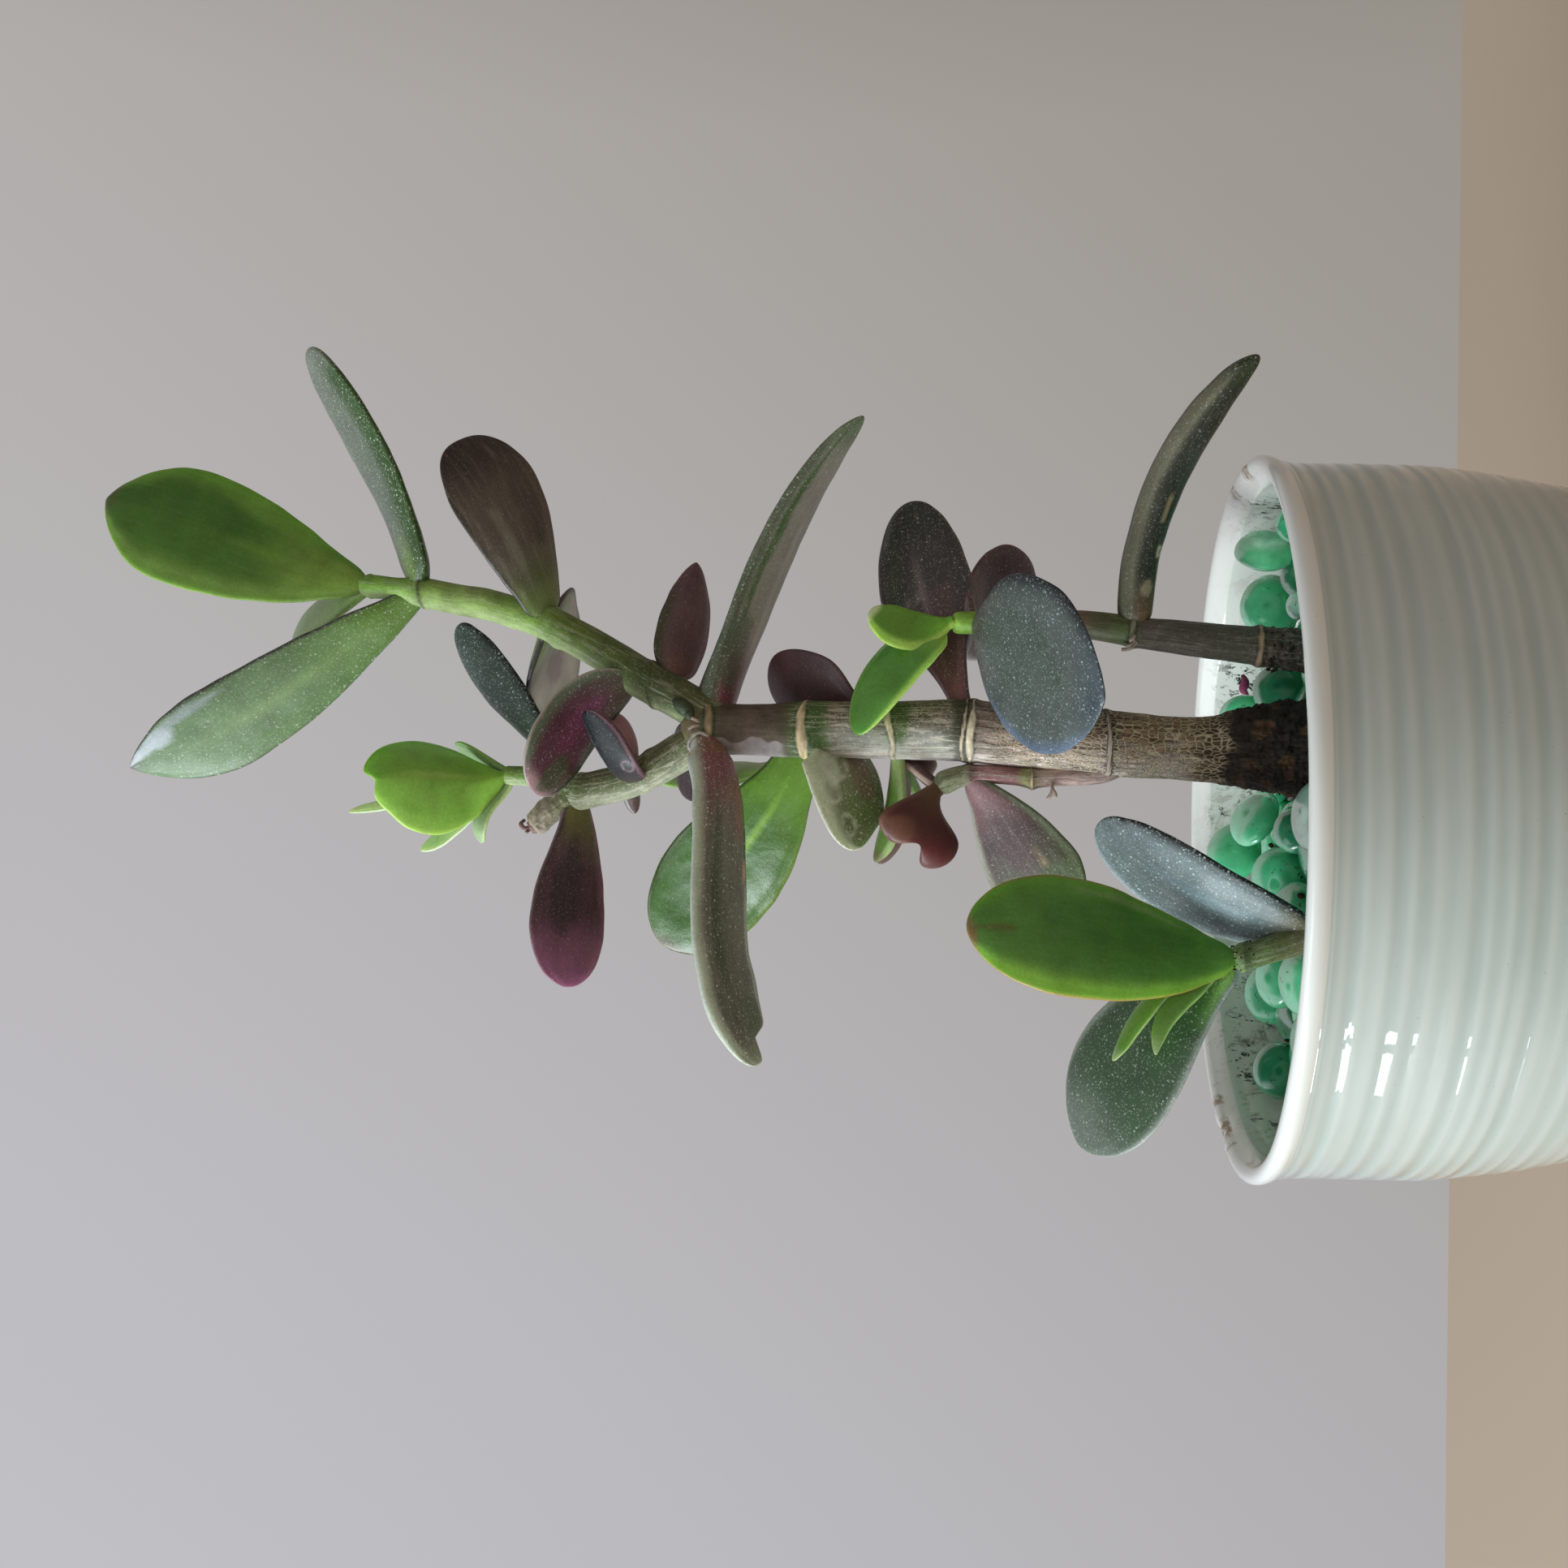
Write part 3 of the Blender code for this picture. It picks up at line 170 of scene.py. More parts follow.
LEAVES = (
    # Top of the right branch
    leaf("crown_front", "crown", "young", heading=339, rise=71, length=0.066, width=0.030, face=(-0.3,
         0.9, 0.2), bend=(0.001, -0.0015), sway=(-0.0025, 0.0005), widest=0.7, stalk=0.2, flare=0.65,
         blunt=0.75),
    leaf("crown_back", "crown", "green", heading=148, rise=55, length=0.029, width=0.0145, face=(0.5,
         -0.7, 0.5), bend=(0.0005, 0.0035), sway=(0.0015, -0.0035), widest=0.65, stalk=0.2, flare=1.5),
    leaf("upper_left", "upper", "green", heading=192, rise=58, length=0.080, width=0.021, face=(0.4, 0.8,
         0.4), bend=(0.0025, -0.0065), sway=(-0.0025, -0.005), widest=0.7, stalk=0.25, flare=0.65,
         blunt=0.85),
    leaf("upper_right", "upper", "green", heading=349, rise=23, length=0.060, width=0.0225, face=(-0.4,
         -0.6, 0.7), thick=0.0046, bend=(-0.005, -0.0035), sway=(-0.001, 0.0015), widest=0.7,
         stalk=0.65, flare=0.8, blunt=0.45),
    leaf("middle_right", "middle", "bronze", heading=335, rise=19, length=0.0445, width=0.0235, face=(0,
         0.6, 0.8), bend=(-0.002, -0.0075), sway=(0.002, -0.0005), widest=0.7, stalk=0.45, flare=0.9,
         blunt=0.4),
    leaf("middle_back", "middle", "bronze", heading=112, rise=10, length=0.0425, width=0.0305, face=(0.3,
         -0.1, 0.9), bend=(0.003, 0.003), sway=(-0.003, -0.003), widest=0.4, stalk=0.55, flare=0.6,
         blunt=0.4),
    leaf("fork_left", "fork_right", "purple", heading=211, rise=37, length=0.036, width=0.0205, face=(0.4,
         0.5, 0.8), bend=(0.010, 0.002), sway=(0.003, 0), widest=0.65, stalk=0.4, flare=0.6,
         blunt=0.45),
    leaf("fork_right", "fork_right_back", "purple", heading=23, rise=-6, length=0.0325, width=0.015,
         face=(-0.1, 0.6, 0.8), bend=(-0.0005, 0.0015), sway=(0, 0.003), widest=0.4, stalk=0.6,
         flare=0.6, blunt=0.7),
    # Left branch and the young shoot on it
    leaf("left_branch_right", "left_top", "blue", heading=12, rise=39, length=0.0515, width=0.0125,
         face=(-0.2, -0.9, 0.4), bend=(-0.001, 0), sway=(-0.0015, 0.001), widest=0.7, flare=1.15,
         blunt=0.45),
    leaf("left_branch_left", "left_top", "purple", heading=190, rise=-3, length=0.0445, width=0.0205,
         face=(-0.1, 0.6, 0.8), bend=(0.001, 0.003), sway=(-0.003, 0.003), widest=0.7, flare=0.8),
    leaf("small_right", "fork_left", "blue", heading=315, rise=24, length=0.0215, width=0.009, face=(-0.8,
         -0.6, 0.2), thick=0.003, bend=(0.008, 0.0015), sway=(-0.0045, -0.005), widest=0.55, stalk=0.75,
         flare=0.9, blunt=0.4),
    leaf("small_back", "fork_left", "purple", heading=17, rise=25, length=0.017, width=0.0085, face=(-0.5,
         0.5, 0.7), bend=(0.0005, 0), sway=(-0.0005, -0.0005), widest=0.65, flare=1.05),
    leaf("small_left", "fork_left", "purple", heading=162, rise=9, length=0.009, width=0.005, face=(0.2,
         0.3, 0.9), bend=(0.0015, 0.0025), sway=(0.001, -0.0015), widest=0.5, blunt=0.55),
    leaf("shoot_folded", "shoot", "young", heading=264, rise=47, length=0.034, width=0.0235, face=(-0.4,
         0.7, 0.6), bend=(0.003, -0.003), sway=(-0.002, 0.003), widest=0.5, stalk=0.2, flare=0.7,
         blunt=0.7, crease=0.5, notch=0.003, notch_width=0.11),
    leaf("shoot_top", "shoot_back", "young", heading=157, rise=76, length=0.042, width=0.006, face=(0.8,
         -0.5, 0.2), thick=0.002, bend=(-0.0005, -0.001), widest=0.55),
    leaf("shoot_left", "shoot_back", "young", heading=172, rise=50, length=0.0285, width=0.0085,
         face=(0.6, -0.6, 0.5), thick=0.002, bend=(-0.0015, -0.002), sway=(0.001, 0.0005), flare=0.95,
         blunt=0.55),
    leaf("shoot_low_left", "shoot_low", "young", heading=191, rise=20, length=0.017, width=0.0065,
         face=(0.4, -0.7, 0.6), thick=0.002, bend=(-0.001, 0.0055), sway=(0.0005, -0.0025), widest=0.75,
         flare=1.05),
    leaf("shoot_low_right", "shoot_low", "young", heading=20, rise=63, length=0.017, width=0.0055,
         face=(-0.7, -0.6, 0.4), thick=0.002, widest=0.65),
    # Trunk, from the fork down
    leaf("trunk_long_left", "fork_front", "green", heading=197, rise=-14, length=0.0715, width=0.0175,
         face=(-0.4, 0.4, 0.8), thick=0.0048, bend=(-0.0095, 0.003), sway=(0.0035, 0.0145), widest=0.75,
         stalk=0.75, flare=0.6, blunt=0.4, swell=0.8, bite=(0.925, -1, 0.12)),
    leaf("trunk_long_right", "fork", "green", heading=9, rise=-25, length=0.0805, width=0.018, face=(0.4,
         0.3, 0.9), thick=0.005, bend=(0.0065, 0.0105), sway=(0.008, 0.001), widest=0.4, stalk=0.55,
         flare=0.6, blunt=0.55, swell=0.75),
    leaf("trunk_back", "fork_behind", "purple", heading=158, rise=10, length=0.020, width=0.0155,
         face=(-0.2, -0.7, 0.7), bend=(-0.0005, -0.002), sway=(-0.003, -0.0005), widest=0.5, stalk=0.55,
         flare=0.6, blunt=0.45),
    leaf("green_left", "ring_4", "young", heading=160, rise=29, length=0.0645, width=0.028, face=(0.4,
         0.9, 0.1), bend=(-0.006, 0.002), sway=(-0.006, 0.0055), widest=0.65, stalk=0.3, flare=0.9,
         blunt=0.4),
    leaf("green_upright", "ring_4_back", "young", heading=104, rise=59, length=0.0485, width=0.0125,
         face=(0.9, -0.4, 0.3), bend=(-0.003, -0.0005), sway=(0.003, -0.001), flare=1.35),
    leaf("speckled_left", "ring_4", "green", heading=192, rise=-29, length=0.0295, width=0.0245,
         face=(-0.5, 0.5, 0.7), bend=(-0.004, -0.0015), sway=(-0.0085, 0.0035), widest=0.4, flare=0.65,
         blunt=0.4),
    leaf("purple_right", "ring_3", "purple", heading=45, rise=58, length=0.036, width=0.022, face=(-0.4,
         -0.8, 0.5), bend=(0.001, 0), sway=(0.002, -0.0005), widest=0.55, stalk=0.2, flare=1.3,
         blunt=0.45),
    leaf("bud_left", "ring_3", "young", heading=172, rise=8, length=0.030, width=0.0065, face=(0, -0.7,
         0.8), bend=(-0.002, -0.003), sway=(0.0025, 0.003), widest=0.65, stalk=0.25, flare=1.3),
    leaf("bud_red", "ring_3", "purple", heading=147, rise=6, length=0.0365, width=0.0105, face=(0.4, 0.5,
         0.8), bend=(-0.003, -0.0025), sway=(-0.002, -0.0015), widest=0.75, stalk=0.25, flare=1.1),
    leaf("bud_low", "ring_3", "young", heading=128, rise=-10, length=0.044, width=0.0045, face=(0, 0, 1),
         thick=0.002),
    leaf("trunk_dark_right", "ring_2", "bronze", heading=18, rise=16, length=0.0585, width=0.024,
         face=(0.1, -0.9, 0.5), bend=(0.0005, 0.001), sway=(0.001, 0.0015), stalk=0.2, flare=1.45),
    # Side shoot
    leaf("heart", "side_top", "purple", heading=196, rise=26, length=0.0175, width=0.0205, face=(0, 0.9,
         0.5), bend=(0.0005, -0.005), sway=(0.003, -0.001), widest=0.65, stalk=0.2, flare=1.3,
         blunt=0.4, notch=0.005, notch_width=0.15),
    leaf("heart_small", "side_top", "purple", heading=56, rise=33, length=0.0145, width=0.0085,
         face=(-0.9, 0.4, 0.2), bend=(0.0005, -0.002), sway=(-0.003, 0.001), widest=0.7, stalk=0.2,
         flare=1.4),
    leaf("side_left", "side_ring", "bronze", heading=173, rise=-38, length=0.038, width=0.0225,
         face=(-0.4, -0.9, 0.3), bend=(-0.0005, 0.0015), sway=(0.002, -0.003), widest=0.7, stalk=0.2,
         flare=0.75),
    # Right stem
    leaf("right_stem_long", "right_low", "blue", heading=345, rise=-22, length=0.0605, width=0.009,
         face=(0.4, 0.6, 0.7), thick=0.0075, bend=(0.0095, 0.010), sway=(-0.0025, -0.0025), widest=0.55,
         stalk=0.8, flare=0.75),
    leaf("right_stem_front", "right_mid", "blue", heading=243, rise=-31, length=0.0485, width=0.037,
         face=(-0.2, -0.5, 0.8), bend=(0.0065, -0.0005), sway=(-0.0005, -0.0005), widest=0.55,
         stalk=0.2, flare=0.6, blunt=0.75),
    leaf("right_stem_back", "right_mid", "bronze", heading=66, rise=-23, length=0.0335, width=0.027,
         face=(0.2, 0.3, 0.9), bend=(0.0125, 0.003), sway=(0.004, 0.0025), widest=0.65, stalk=0.45,
         flare=0.7),
    leaf("right_stem_young_left", "right_top_back", "young", heading=203, rise=35, length=0.032,
         width=0.0145, face=(0.4, -0.8, 0.4), bend=(0.003, 0.003), sway=(-0.003, -0.003), widest=0.4,
         stalk=0.6, flare=0.6, blunt=0.55),
    leaf("right_stem_young_right", "right_top_front", "young", heading=302, rise=78, length=0.0185,
         width=0.0115, face=(-0.5, 0.8, 0.2), thick=0.003, bend=(0.003, 0.003), sway=(-0.003, -0.003),
         stalk=0.2, flare=0.6, blunt=0.45),
    # Left stem
    leaf("left_stem_front", "left_node", "young", heading=296, rise=76, length=0.056, width=0.024,
         face=(-0.2, 0.9, 0.2), bend=(0.003, -0.003), sway=(-0.003, 0.003), widest=0.65, stalk=0.2,
         flare=0.6, blunt=0.55),
    leaf("left_stem_left", "left_node", "green", heading=156, rise=32, length=0.057, width=0.030,
         face=(0.2, -0.6, 0.7), bend=(0.003, 0.003), sway=(-0.003, -0.003), widest=0.65, stalk=0.25,
         flare=0.85, blunt=0.6),
    leaf("left_stem_right", "left_low", "blue", heading=9, rise=63, length=0.048, width=0.021, face=(-0.6,
         -0.7, 0.4), bend=(0.004, 0.004), sway=(0.003, 0.003), stalk=0.45, flare=0.6, blunt=0.45),
    leaf("left_stem_young_1", "left_node_back", "young", heading=186, rise=48, length=0.032, width=0.0065,
         face=(0.7, -0.4, 0.6), thick=0.002, bend=(0.0065, 0.0025), sway=(-0.0045, -0.0015), widest=0.5,
         blunt=0.55),
    leaf("left_stem_young_2", "left_node_back", "young", heading=199, rise=38, length=0.0255,
         width=0.0055, face=(0.6, -0.7, 0.4), thick=0.002, bend=(0.0015, 0.0035), sway=(-0.0015,
         -0.0045), widest=0.45, blunt=0.65),
)

# Each leaf's skin. Colours are 0 to 255: the upper and lower faces, the foot and the tip with how far they
# reach, the two margins (that on the side axis first), and the rib. dots and grain are shares.
# Some patches, rims and margins below are painted light, as marked at each skin.
SKINS = {
    "crown_front": dict(upper=(84, 122, 50), lower=(78, 124, 40), foot=((132, 168, 70), 0.32),
                        tip=((84, 92, 50), 0.05), edges=((108, 156, 54), (118, 152, 66)), edge_reach=0.35,
                        rib=(104, 146, 54), dots=0.15, grain=0.35, gloss=0.4,
                        patches=[((60, 106, 32), 0.72, 0.3, 0.3, 0.5, 0.5),
                                 ((116, 160, 66), 0.35, 0.75, 0.3, 0.2, 0.5)]),
    "crown_back": dict(upper=(140, 160, 120), lower=(124, 156, 84), foot=((126, 162, 80), 0.3), dots=0.7,
                       gain=1.4),
    "upper_left": dict(upper=(100, 124, 88), lower=(106, 132, 96), foot=((90, 122, 46), 0.34),
                       tip=((112, 94, 116), 0.05), edges=((62, 66, 58), (100, 122, 88)), edge_reach=0.08,
                       rib=(134, 160, 112), rib_width=0.16, rim=(70, 70, 66), dots=0.9, grain=0.2,
                       gloss=0.4,
                       # The first two patches are painted sheen: a pale highlight down the margin near the tip
                       patches=[((196, 204, 214), 0.90, 0.62, 0.10, 0.30, 0.85),
                                ((168, 178, 184), 0.78, 0.78, 0.16, 0.10, 0.7),
                                ((88, 122, 66), 0.45, -0.75, 0.35, 0.3, 0.5)]),
    "upper_right": dict(upper=(92, 102, 88), lower=(58, 88, 36), foot=((110, 136, 70), 0.16),
                        edges=((112, 122, 106), (48, 76, 30)), edge_reach=0.42, tip=((108, 116, 100), 0.1),
                        dots=0.9, grain=0.2),
    "middle_right": dict(upper=(72, 72, 62), lower=(86, 77, 68), foot=((106, 124, 70), 0.26),
                         tip=((50, 40, 40), 0.22), edges=((92, 72, 68), (50, 46, 40)), edge_reach=0.07,
                         dots=0.35, grain=0.6,
                         patches=[((116, 112, 98), 0.45, -0.35, 0.25, 0.14, 0.7),
                                  ((60, 54, 48), 0.6, 0.5, 0.25, 0.3, 0.5),
                                  ((96, 84, 80), 0.90, 0.35, 0.10, 0.05, 0.7)]),
    "middle_back": dict(upper=(58, 62, 52), lower=(150, 142, 126), foot=((112, 124, 78), 0.25),
                        tip=((70, 62, 56), 0.12), edges=((46, 44, 42), (72, 62, 58)), edge_reach=0.10,
                        dots=0.3, grain=0.2,
                        patches=[((112, 84, 86), 0.5, 0.2, 0.2, 0.3, 0.7),
                                 ((120, 142, 82), 0.2, -0.2, 0.16, 0.6, 0.6),
                                 ((176, 168, 150), 0.7, -0.4, 0.2, 0.3, 0.6)]),
    "fork_left": dict(upper=(76, 90, 62), lower=(86, 48, 62), foot=((78, 66, 52), 0.3),
                      tip=((146, 118, 122), 0.08), edges=((92, 104, 84), (52, 62, 44)), edge_reach=0.28,
                      rim=(182, 180, 168), dots=0.9, grain=0.2, gloss=0.7,
                      patches=[((118, 54, 88), 0.5, 0.05, 0.3, 0.3, 0.6),
                               ((56, 74, 40), 0.85, -0.3, 0.16, 0.4, 0.7)]),
    "fork_right": dict(upper=(70, 56, 56), lower=(102, 80, 86), foot=((112, 84, 78), 0.2),
                       tip=((92, 68, 78), 0.3), edges=((112, 84, 92), (62, 64, 48)), edge_reach=0.3,
                       gain=1.25, dots=0.5,
                       grain=0.3),
    "left_branch_right": dict(upper=(58, 72, 66), lower=(34, 42, 40), foot=((68, 96, 62), 0.35),
                              edges=((74, 88, 80), (22, 26, 26)), edge_reach=0.16, dots=1.0),
    "left_branch_left": dict(upper=(60, 54, 48), lower=(79, 43, 61), foot=((101, 101, 48), 0.26),
                             tip=((146, 90, 126), 0.28), edges=((66, 52, 54), (116, 66, 92)),
                             edge_reach=0.18,
                             # Its pale rim is a painted highlight along the margin
                             rim=(132, 108, 120), dots=0.5, grain=0.25,
                             patches=[((40, 28, 34), 0.5, 0.25, 0.3, 0.5, 0.6)]),
    "small_right": dict(upper=(18, 22, 26), lower=(84, 58, 66), foot=((60, 46, 44), 0.3),
                        edges=((64, 74, 80), (96, 66, 76)), edge_reach=0.2, dots=0.2, gloss=0.0,
                        scars=[((150, 120, 130), 0.4, -0.5, 0.0012)]),
    "small_back": dict(upper=(80, 66, 68), lower=(132, 96, 104), foot=((96, 80, 72), 0.3), gain=2.0,
                       dots=0.3, grain=0.2),
    "small_left": dict(upper=(108, 100, 100), lower=(104, 84, 84), rim=(170, 168, 166), dots=0.5,
                       grain=0.2),
    "shoot_folded": dict(upper=(110, 150, 66), lower=(134, 184, 76), foot=((148, 200, 80), 0.3),
                         edges=((116, 164, 58), (160, 200, 96)), edge_reach=0.16, rib=(170, 208, 110),
                         rib_width=0.05,
                         dots=0.2, gloss=0.8),
    "shoot_top": dict(upper=(188, 214, 156), lower=(140, 180, 92), edges=((170, 190, 150), (130, 168, 100)),
                      gain=1.3, dots=0.1),
    "shoot_left": dict(upper=(172, 202, 138), lower=(128, 170, 84), edges=((190, 208, 170), (124, 162, 90)),
                       gain=1.3, dots=0.1),
    "shoot_low_left": dict(upper=(146, 168, 126), lower=(150, 188, 104),
                           edges=((176, 200, 144), (192, 212, 166)),
                           gain=1.2, dots=0.2),
    "shoot_low_right": dict(upper=(134, 160, 116), lower=(114, 152, 70),
                            edges=((142, 164, 124), (138, 178, 98)),
                            dots=0.2),
    "trunk_long_left": dict(upper=(170, 180, 160), lower=(116, 114, 104), foot=((134, 80, 94), 0.26),
                            tip=((150, 156, 140), 0.06), edges=((196, 206, 188), (68, 84, 52)),
                            rim=(190, 196, 184),
                            edge_reach=0.20, dots=1.3, grain=0.9,
                            patches=[((74, 84, 64), 0.55, 0.35, 0.35, 0.22, 0.7),
                                     ((176, 188, 168), 0.74, -0.86, 0.30, 0.16, 0.75),
                                     ((200, 158, 128), 0.43, -0.80, 0.035, 0.14, 0.9),
                                     ((70, 92, 60), 0.88, -0.35, 0.08, 0.4, 0.6),
                                     ((140, 104, 78), 0.03, 0.0, 0.05, 1.2, 0.7),
                                     ((156, 100, 114), 0.2, -0.6, 0.14, 0.3, 0.6)]),
    "trunk_long_right": dict(upper=(100, 112, 86), lower=(150, 147, 138), foot=((134, 82, 94), 0.24),
                             tip=((112, 126, 100), 0.1), edges=((104, 104, 96), (98, 108, 90)),
                             edge_reach=0.24, dots=1.0, grain=0.5,
                             patches=[((64, 100, 46), 0.62, -0.62, 0.42, 0.13, 0.85),
                                      ((86, 104, 84), 0.22, -0.5, 0.14, 0.5, 0.7),
                                      ((180, 178, 168), 0.45, 0.3, 0.25, 0.16, 0.5)]),
    "trunk_back": dict(upper=(68, 49, 56), lower=(70, 52, 56), foot=((104, 72, 96), 0.3), dots=0.4,
                       grain=0.3),
    "green_left": dict(upper=(78, 110, 52), lower=(58, 98, 28), foot=((104, 146, 50), 0.30),
                       tip=((96, 84, 76), 0.05), edges=((60, 80, 36), (96, 120, 54)), edge_reach=0.10,
                       rib=(140, 182, 72), rib_width=0.04, dots=0.3, grain=0.2, gloss=1.1,
                       patches=[((48, 88, 26), 0.75, 0.2, 0.2, 0.5, 0.6)]),
    "green_upright": dict(upper=(150, 178, 108), lower=(140, 176, 88), foot=((150, 186, 84), 0.4), gain=1.2,
                          dots=0.1),
    "speckled_left": dict(upper=(190, 200, 174), lower=(116, 128, 88), foot=((190, 128, 126), 0.16),
                          edges=((206, 214, 190), (100, 114, 72)), edge_reach=0.4, dots=2.2, grain=0.6,
                          rim=(210, 214, 200),
                          gain=1.3,
                          patches=[((96, 122, 64), 0.75, -0.25, 0.2, 0.45, 0.7),
                                   ((118, 92, 80), 0.42, -0.35, 0.26, 0.35, 0.7),
                                   ((200, 208, 190), 0.42, 0.45, 0.25, 0.25, 0.7)],
                          scars=[((220, 226, 210), 0.84, 0.25, 0.0019),
                                 ((216, 222, 206), 0.62, 0.52, 0.0024),
                                 ((216, 210, 196), 0.40, 0.30, 0.0034)]),
    "purple_right": dict(upper=(80, 54, 55), lower=(70, 48, 50), foot=((78, 60, 54), 0.15),
                         edges=((80, 58, 60), (84, 62, 66)), edge_reach=0.12, tip=((98, 66, 70), 0.2),
                         dots=0.25,
                         gloss=0.1),
    "bud_left": dict(upper=(96, 128, 56), lower=(96, 122, 60), foot=((176, 196, 134), 0.30),
                     edges=((156, 178, 116), (150, 172, 110)), edge_reach=0.3, tip=((104, 96, 62), 0.1)),
    "bud_red": dict(upper=(84, 58, 52), lower=(96, 68, 60), foot=((150, 146, 110), 0.2),
                    rim=(150, 140, 120)),
    "bud_low": dict(upper=(124, 154, 90), lower=(114, 146, 80)),
    "trunk_dark_right": dict(upper=(58, 52, 48), lower=(64, 52, 50), foot=((142, 92, 98), 0.36),
                             tip=((42, 44, 38), 0.25), edges=((84, 80, 74), (56, 46, 46)), edge_reach=0.06,
                             rib=(120, 104, 102), rib_width=0.018, dots=0.7, grain=0.25, rim=(96, 88, 84),
                             patches=[((52, 60, 44), 0.6, 0.55, 0.25, 0.3, 0.6),
                                      ((100, 72, 74), 0.4, -0.3, 0.2, 0.5, 0.5)],
                             scars=[((128, 110, 108), 0.58, 0.25, 0.0016)]),
    "heart": dict(upper=(104, 72, 64), lower=(88, 42, 42), foot=((104, 74, 52), 0.35),
                  edges=((112, 76, 62), (92, 50, 48)), tip=((96, 66, 58), 0.06), edge_reach=0.14, dots=0.05,
                  gloss=0.2,
                  patches=[((118, 78, 58), 0.75, 0.5, 0.25, 0.4, 0.6),
                           ((96, 34, 38), 0.8, -0.5, 0.2, 0.4, 0.5)]),
    "heart_small": dict(upper=(84, 54, 52), lower=(76, 46, 46), edges=((160, 140, 124), (190, 166, 154)),
                        edge_reach=0.15),
    "side_left": dict(upper=(66, 44, 44), lower=(76, 78, 56), foot=((140, 104, 108), 0.28),
                      tip=((80, 88, 56), 0.42), edges=((96, 104, 80), (166, 164, 150)), edge_reach=0.20,
                      dots=0.6, grain=0.6,
                      patches=[((72, 42, 48), 0.50, 0.0, 0.24, 0.4, 0.7),
                               ((190, 156, 118), 0.60, 0.35, 0.16, 0.035, 0.9),
                               ((150, 132, 130), 0.40, -0.45, 0.14, 0.05, 0.6),
                               ((80, 96, 60), 0.8, 0.5, 0.16, 0.4, 0.6)]),
    "right_stem_long": dict(upper=(68, 74, 56), lower=(45, 46, 36), foot=((108, 84, 62), 0.13),
                            tip=((46, 56, 32), 0.12), edges=((60, 64, 50), (116, 116, 94)), edge_reach=0.18,
                            dots=0.6, grain=0.4,
                            patches=[((204, 198, 168), 0.265, 0.15, 0.035, 0.30, 0.85),
                                     ((96, 74, 56), 0.265, 0.15, 0.018, 0.14, 0.7),
                                     ((176, 160, 130), 0.13, -0.35, 0.03, 0.4, 0.6),
                                     ((150, 132, 104), 0.42, -0.2, 0.05, 0.10, 0.8),
                                     ((96, 84, 66), 0.2, 0.5, 0.1, 0.3, 0.5)]),
    "right_stem_front": dict(upper=(80, 88, 84), lower=(66, 72, 74), foot=((94, 90, 82), 0.22),
                             tip=((64, 74, 80), 0.14), edges=((36, 38, 40), (94, 108, 128)),
                             edge_reach=0.15,
                             dots=0.7, grain=0.1, gloss=0.35,
                             patches=[((70, 82, 72), 0.45, 0.1, 0.3, 0.5, 0.6),
                                      ((60, 56, 58), 0.08, 0.3, 0.12, 0.5, 0.6)]),
    "right_stem_back": dict(upper=(116, 112, 108), lower=(78, 50, 60), foot=((112, 100, 98), 0.2),
                            edges=((150, 142, 146), (86, 60, 68)), edge_reach=0.12, gain=1.25, dots=0.7,
                            grain=0.2),
    "right_stem_young_left": dict(upper=(98, 156, 66), lower=(146, 190, 84), foot=((136, 184, 74), 0.25),
                                  # Its first margin colour is painted light: much paler than the leaf,
                                  # standing in for light on that turned edge
                                  edges=((176, 222, 110), (124, 168, 80)), edge_reach=0.16, dots=0.1,
                                  gloss=1.6),
    "right_stem_young_right": dict(upper=(144, 188, 72), lower=(98, 148, 50), foot=((106, 162, 48), 0.3),
                                   edges=((110, 156, 58), (164, 204, 92)), tip=((196, 214, 166), 0.06),
                                   edge_reach=0.3, gain=1.25, dots=0.1, gloss=0.9),
    "left_stem_front": dict(upper=(100, 144, 62), lower=(80, 128, 48), foot=((92, 140, 54), 0.22),
                            tip=((120, 88, 60), 0.03), edges=((96, 148, 46), (124, 168, 56)),
                            edge_reach=0.34,
                            rib=(76, 118, 44), rim=(160, 98, 66), dots=0.15, grain=0.3, gloss=0.6,
                            patches=[((96, 84, 46), 0.92, 0.0, 0.10, 0.10, 0.7),
                                     ((64, 110, 38), 0.45, 0.35, 0.3, 0.4, 0.5),
                                     ((140, 154, 98), 0.42, 0.80, 0.25, 0.08, 0.6)]),
    "left_stem_left": dict(upper=(58, 84, 55), lower=(84, 110, 62), foot=((108, 156, 64), 0.2),
                           tip=((104, 116, 104), 0.2), edges=((112, 126, 110), (148, 156, 144)),
                           edge_reach=0.10,
                           rim=(158, 160, 160), dots=0.8, grain=0.1, gloss=0.3,
                           patches=[((56, 92, 46), 0.3, 0.3, 0.25, 0.5, 0.6)]),
    "left_stem_right": dict(upper=(104, 118, 120), lower=(40, 52, 48), foot=((112, 100, 72), 0.16),
                            edges=((154, 164, 166), (14, 20, 20)), edge_reach=0.16, dots=1.1, grain=0.9,
                            gloss=0.4,
                            # Its first patch is painted sheen: a pale blue highlight across the middle of the
                            # leaf
                            patches=[((148, 190, 208), 0.50, -0.05, 0.28, 0.20, 0.18),
                                     ((80, 98, 88), 0.75, 0.3, 0.2, 0.5, 0.5)]),
    "left_stem_young_1": dict(upper=(108, 152, 56), lower=(118, 162, 64),
                              edges=((122, 166, 74), (122, 160, 76)),
                              tip=((152, 172, 122), 0.08), rim=(170, 196, 130), gloss=0.8),
    "left_stem_young_2": dict(upper=(104, 144, 62), lower=(112, 156, 58),
                              edges=((140, 172, 104), (116, 154, 72)),
                              tip=((132, 152, 102), 0.10), rim=(164, 190, 126), gloss=0.8),
}


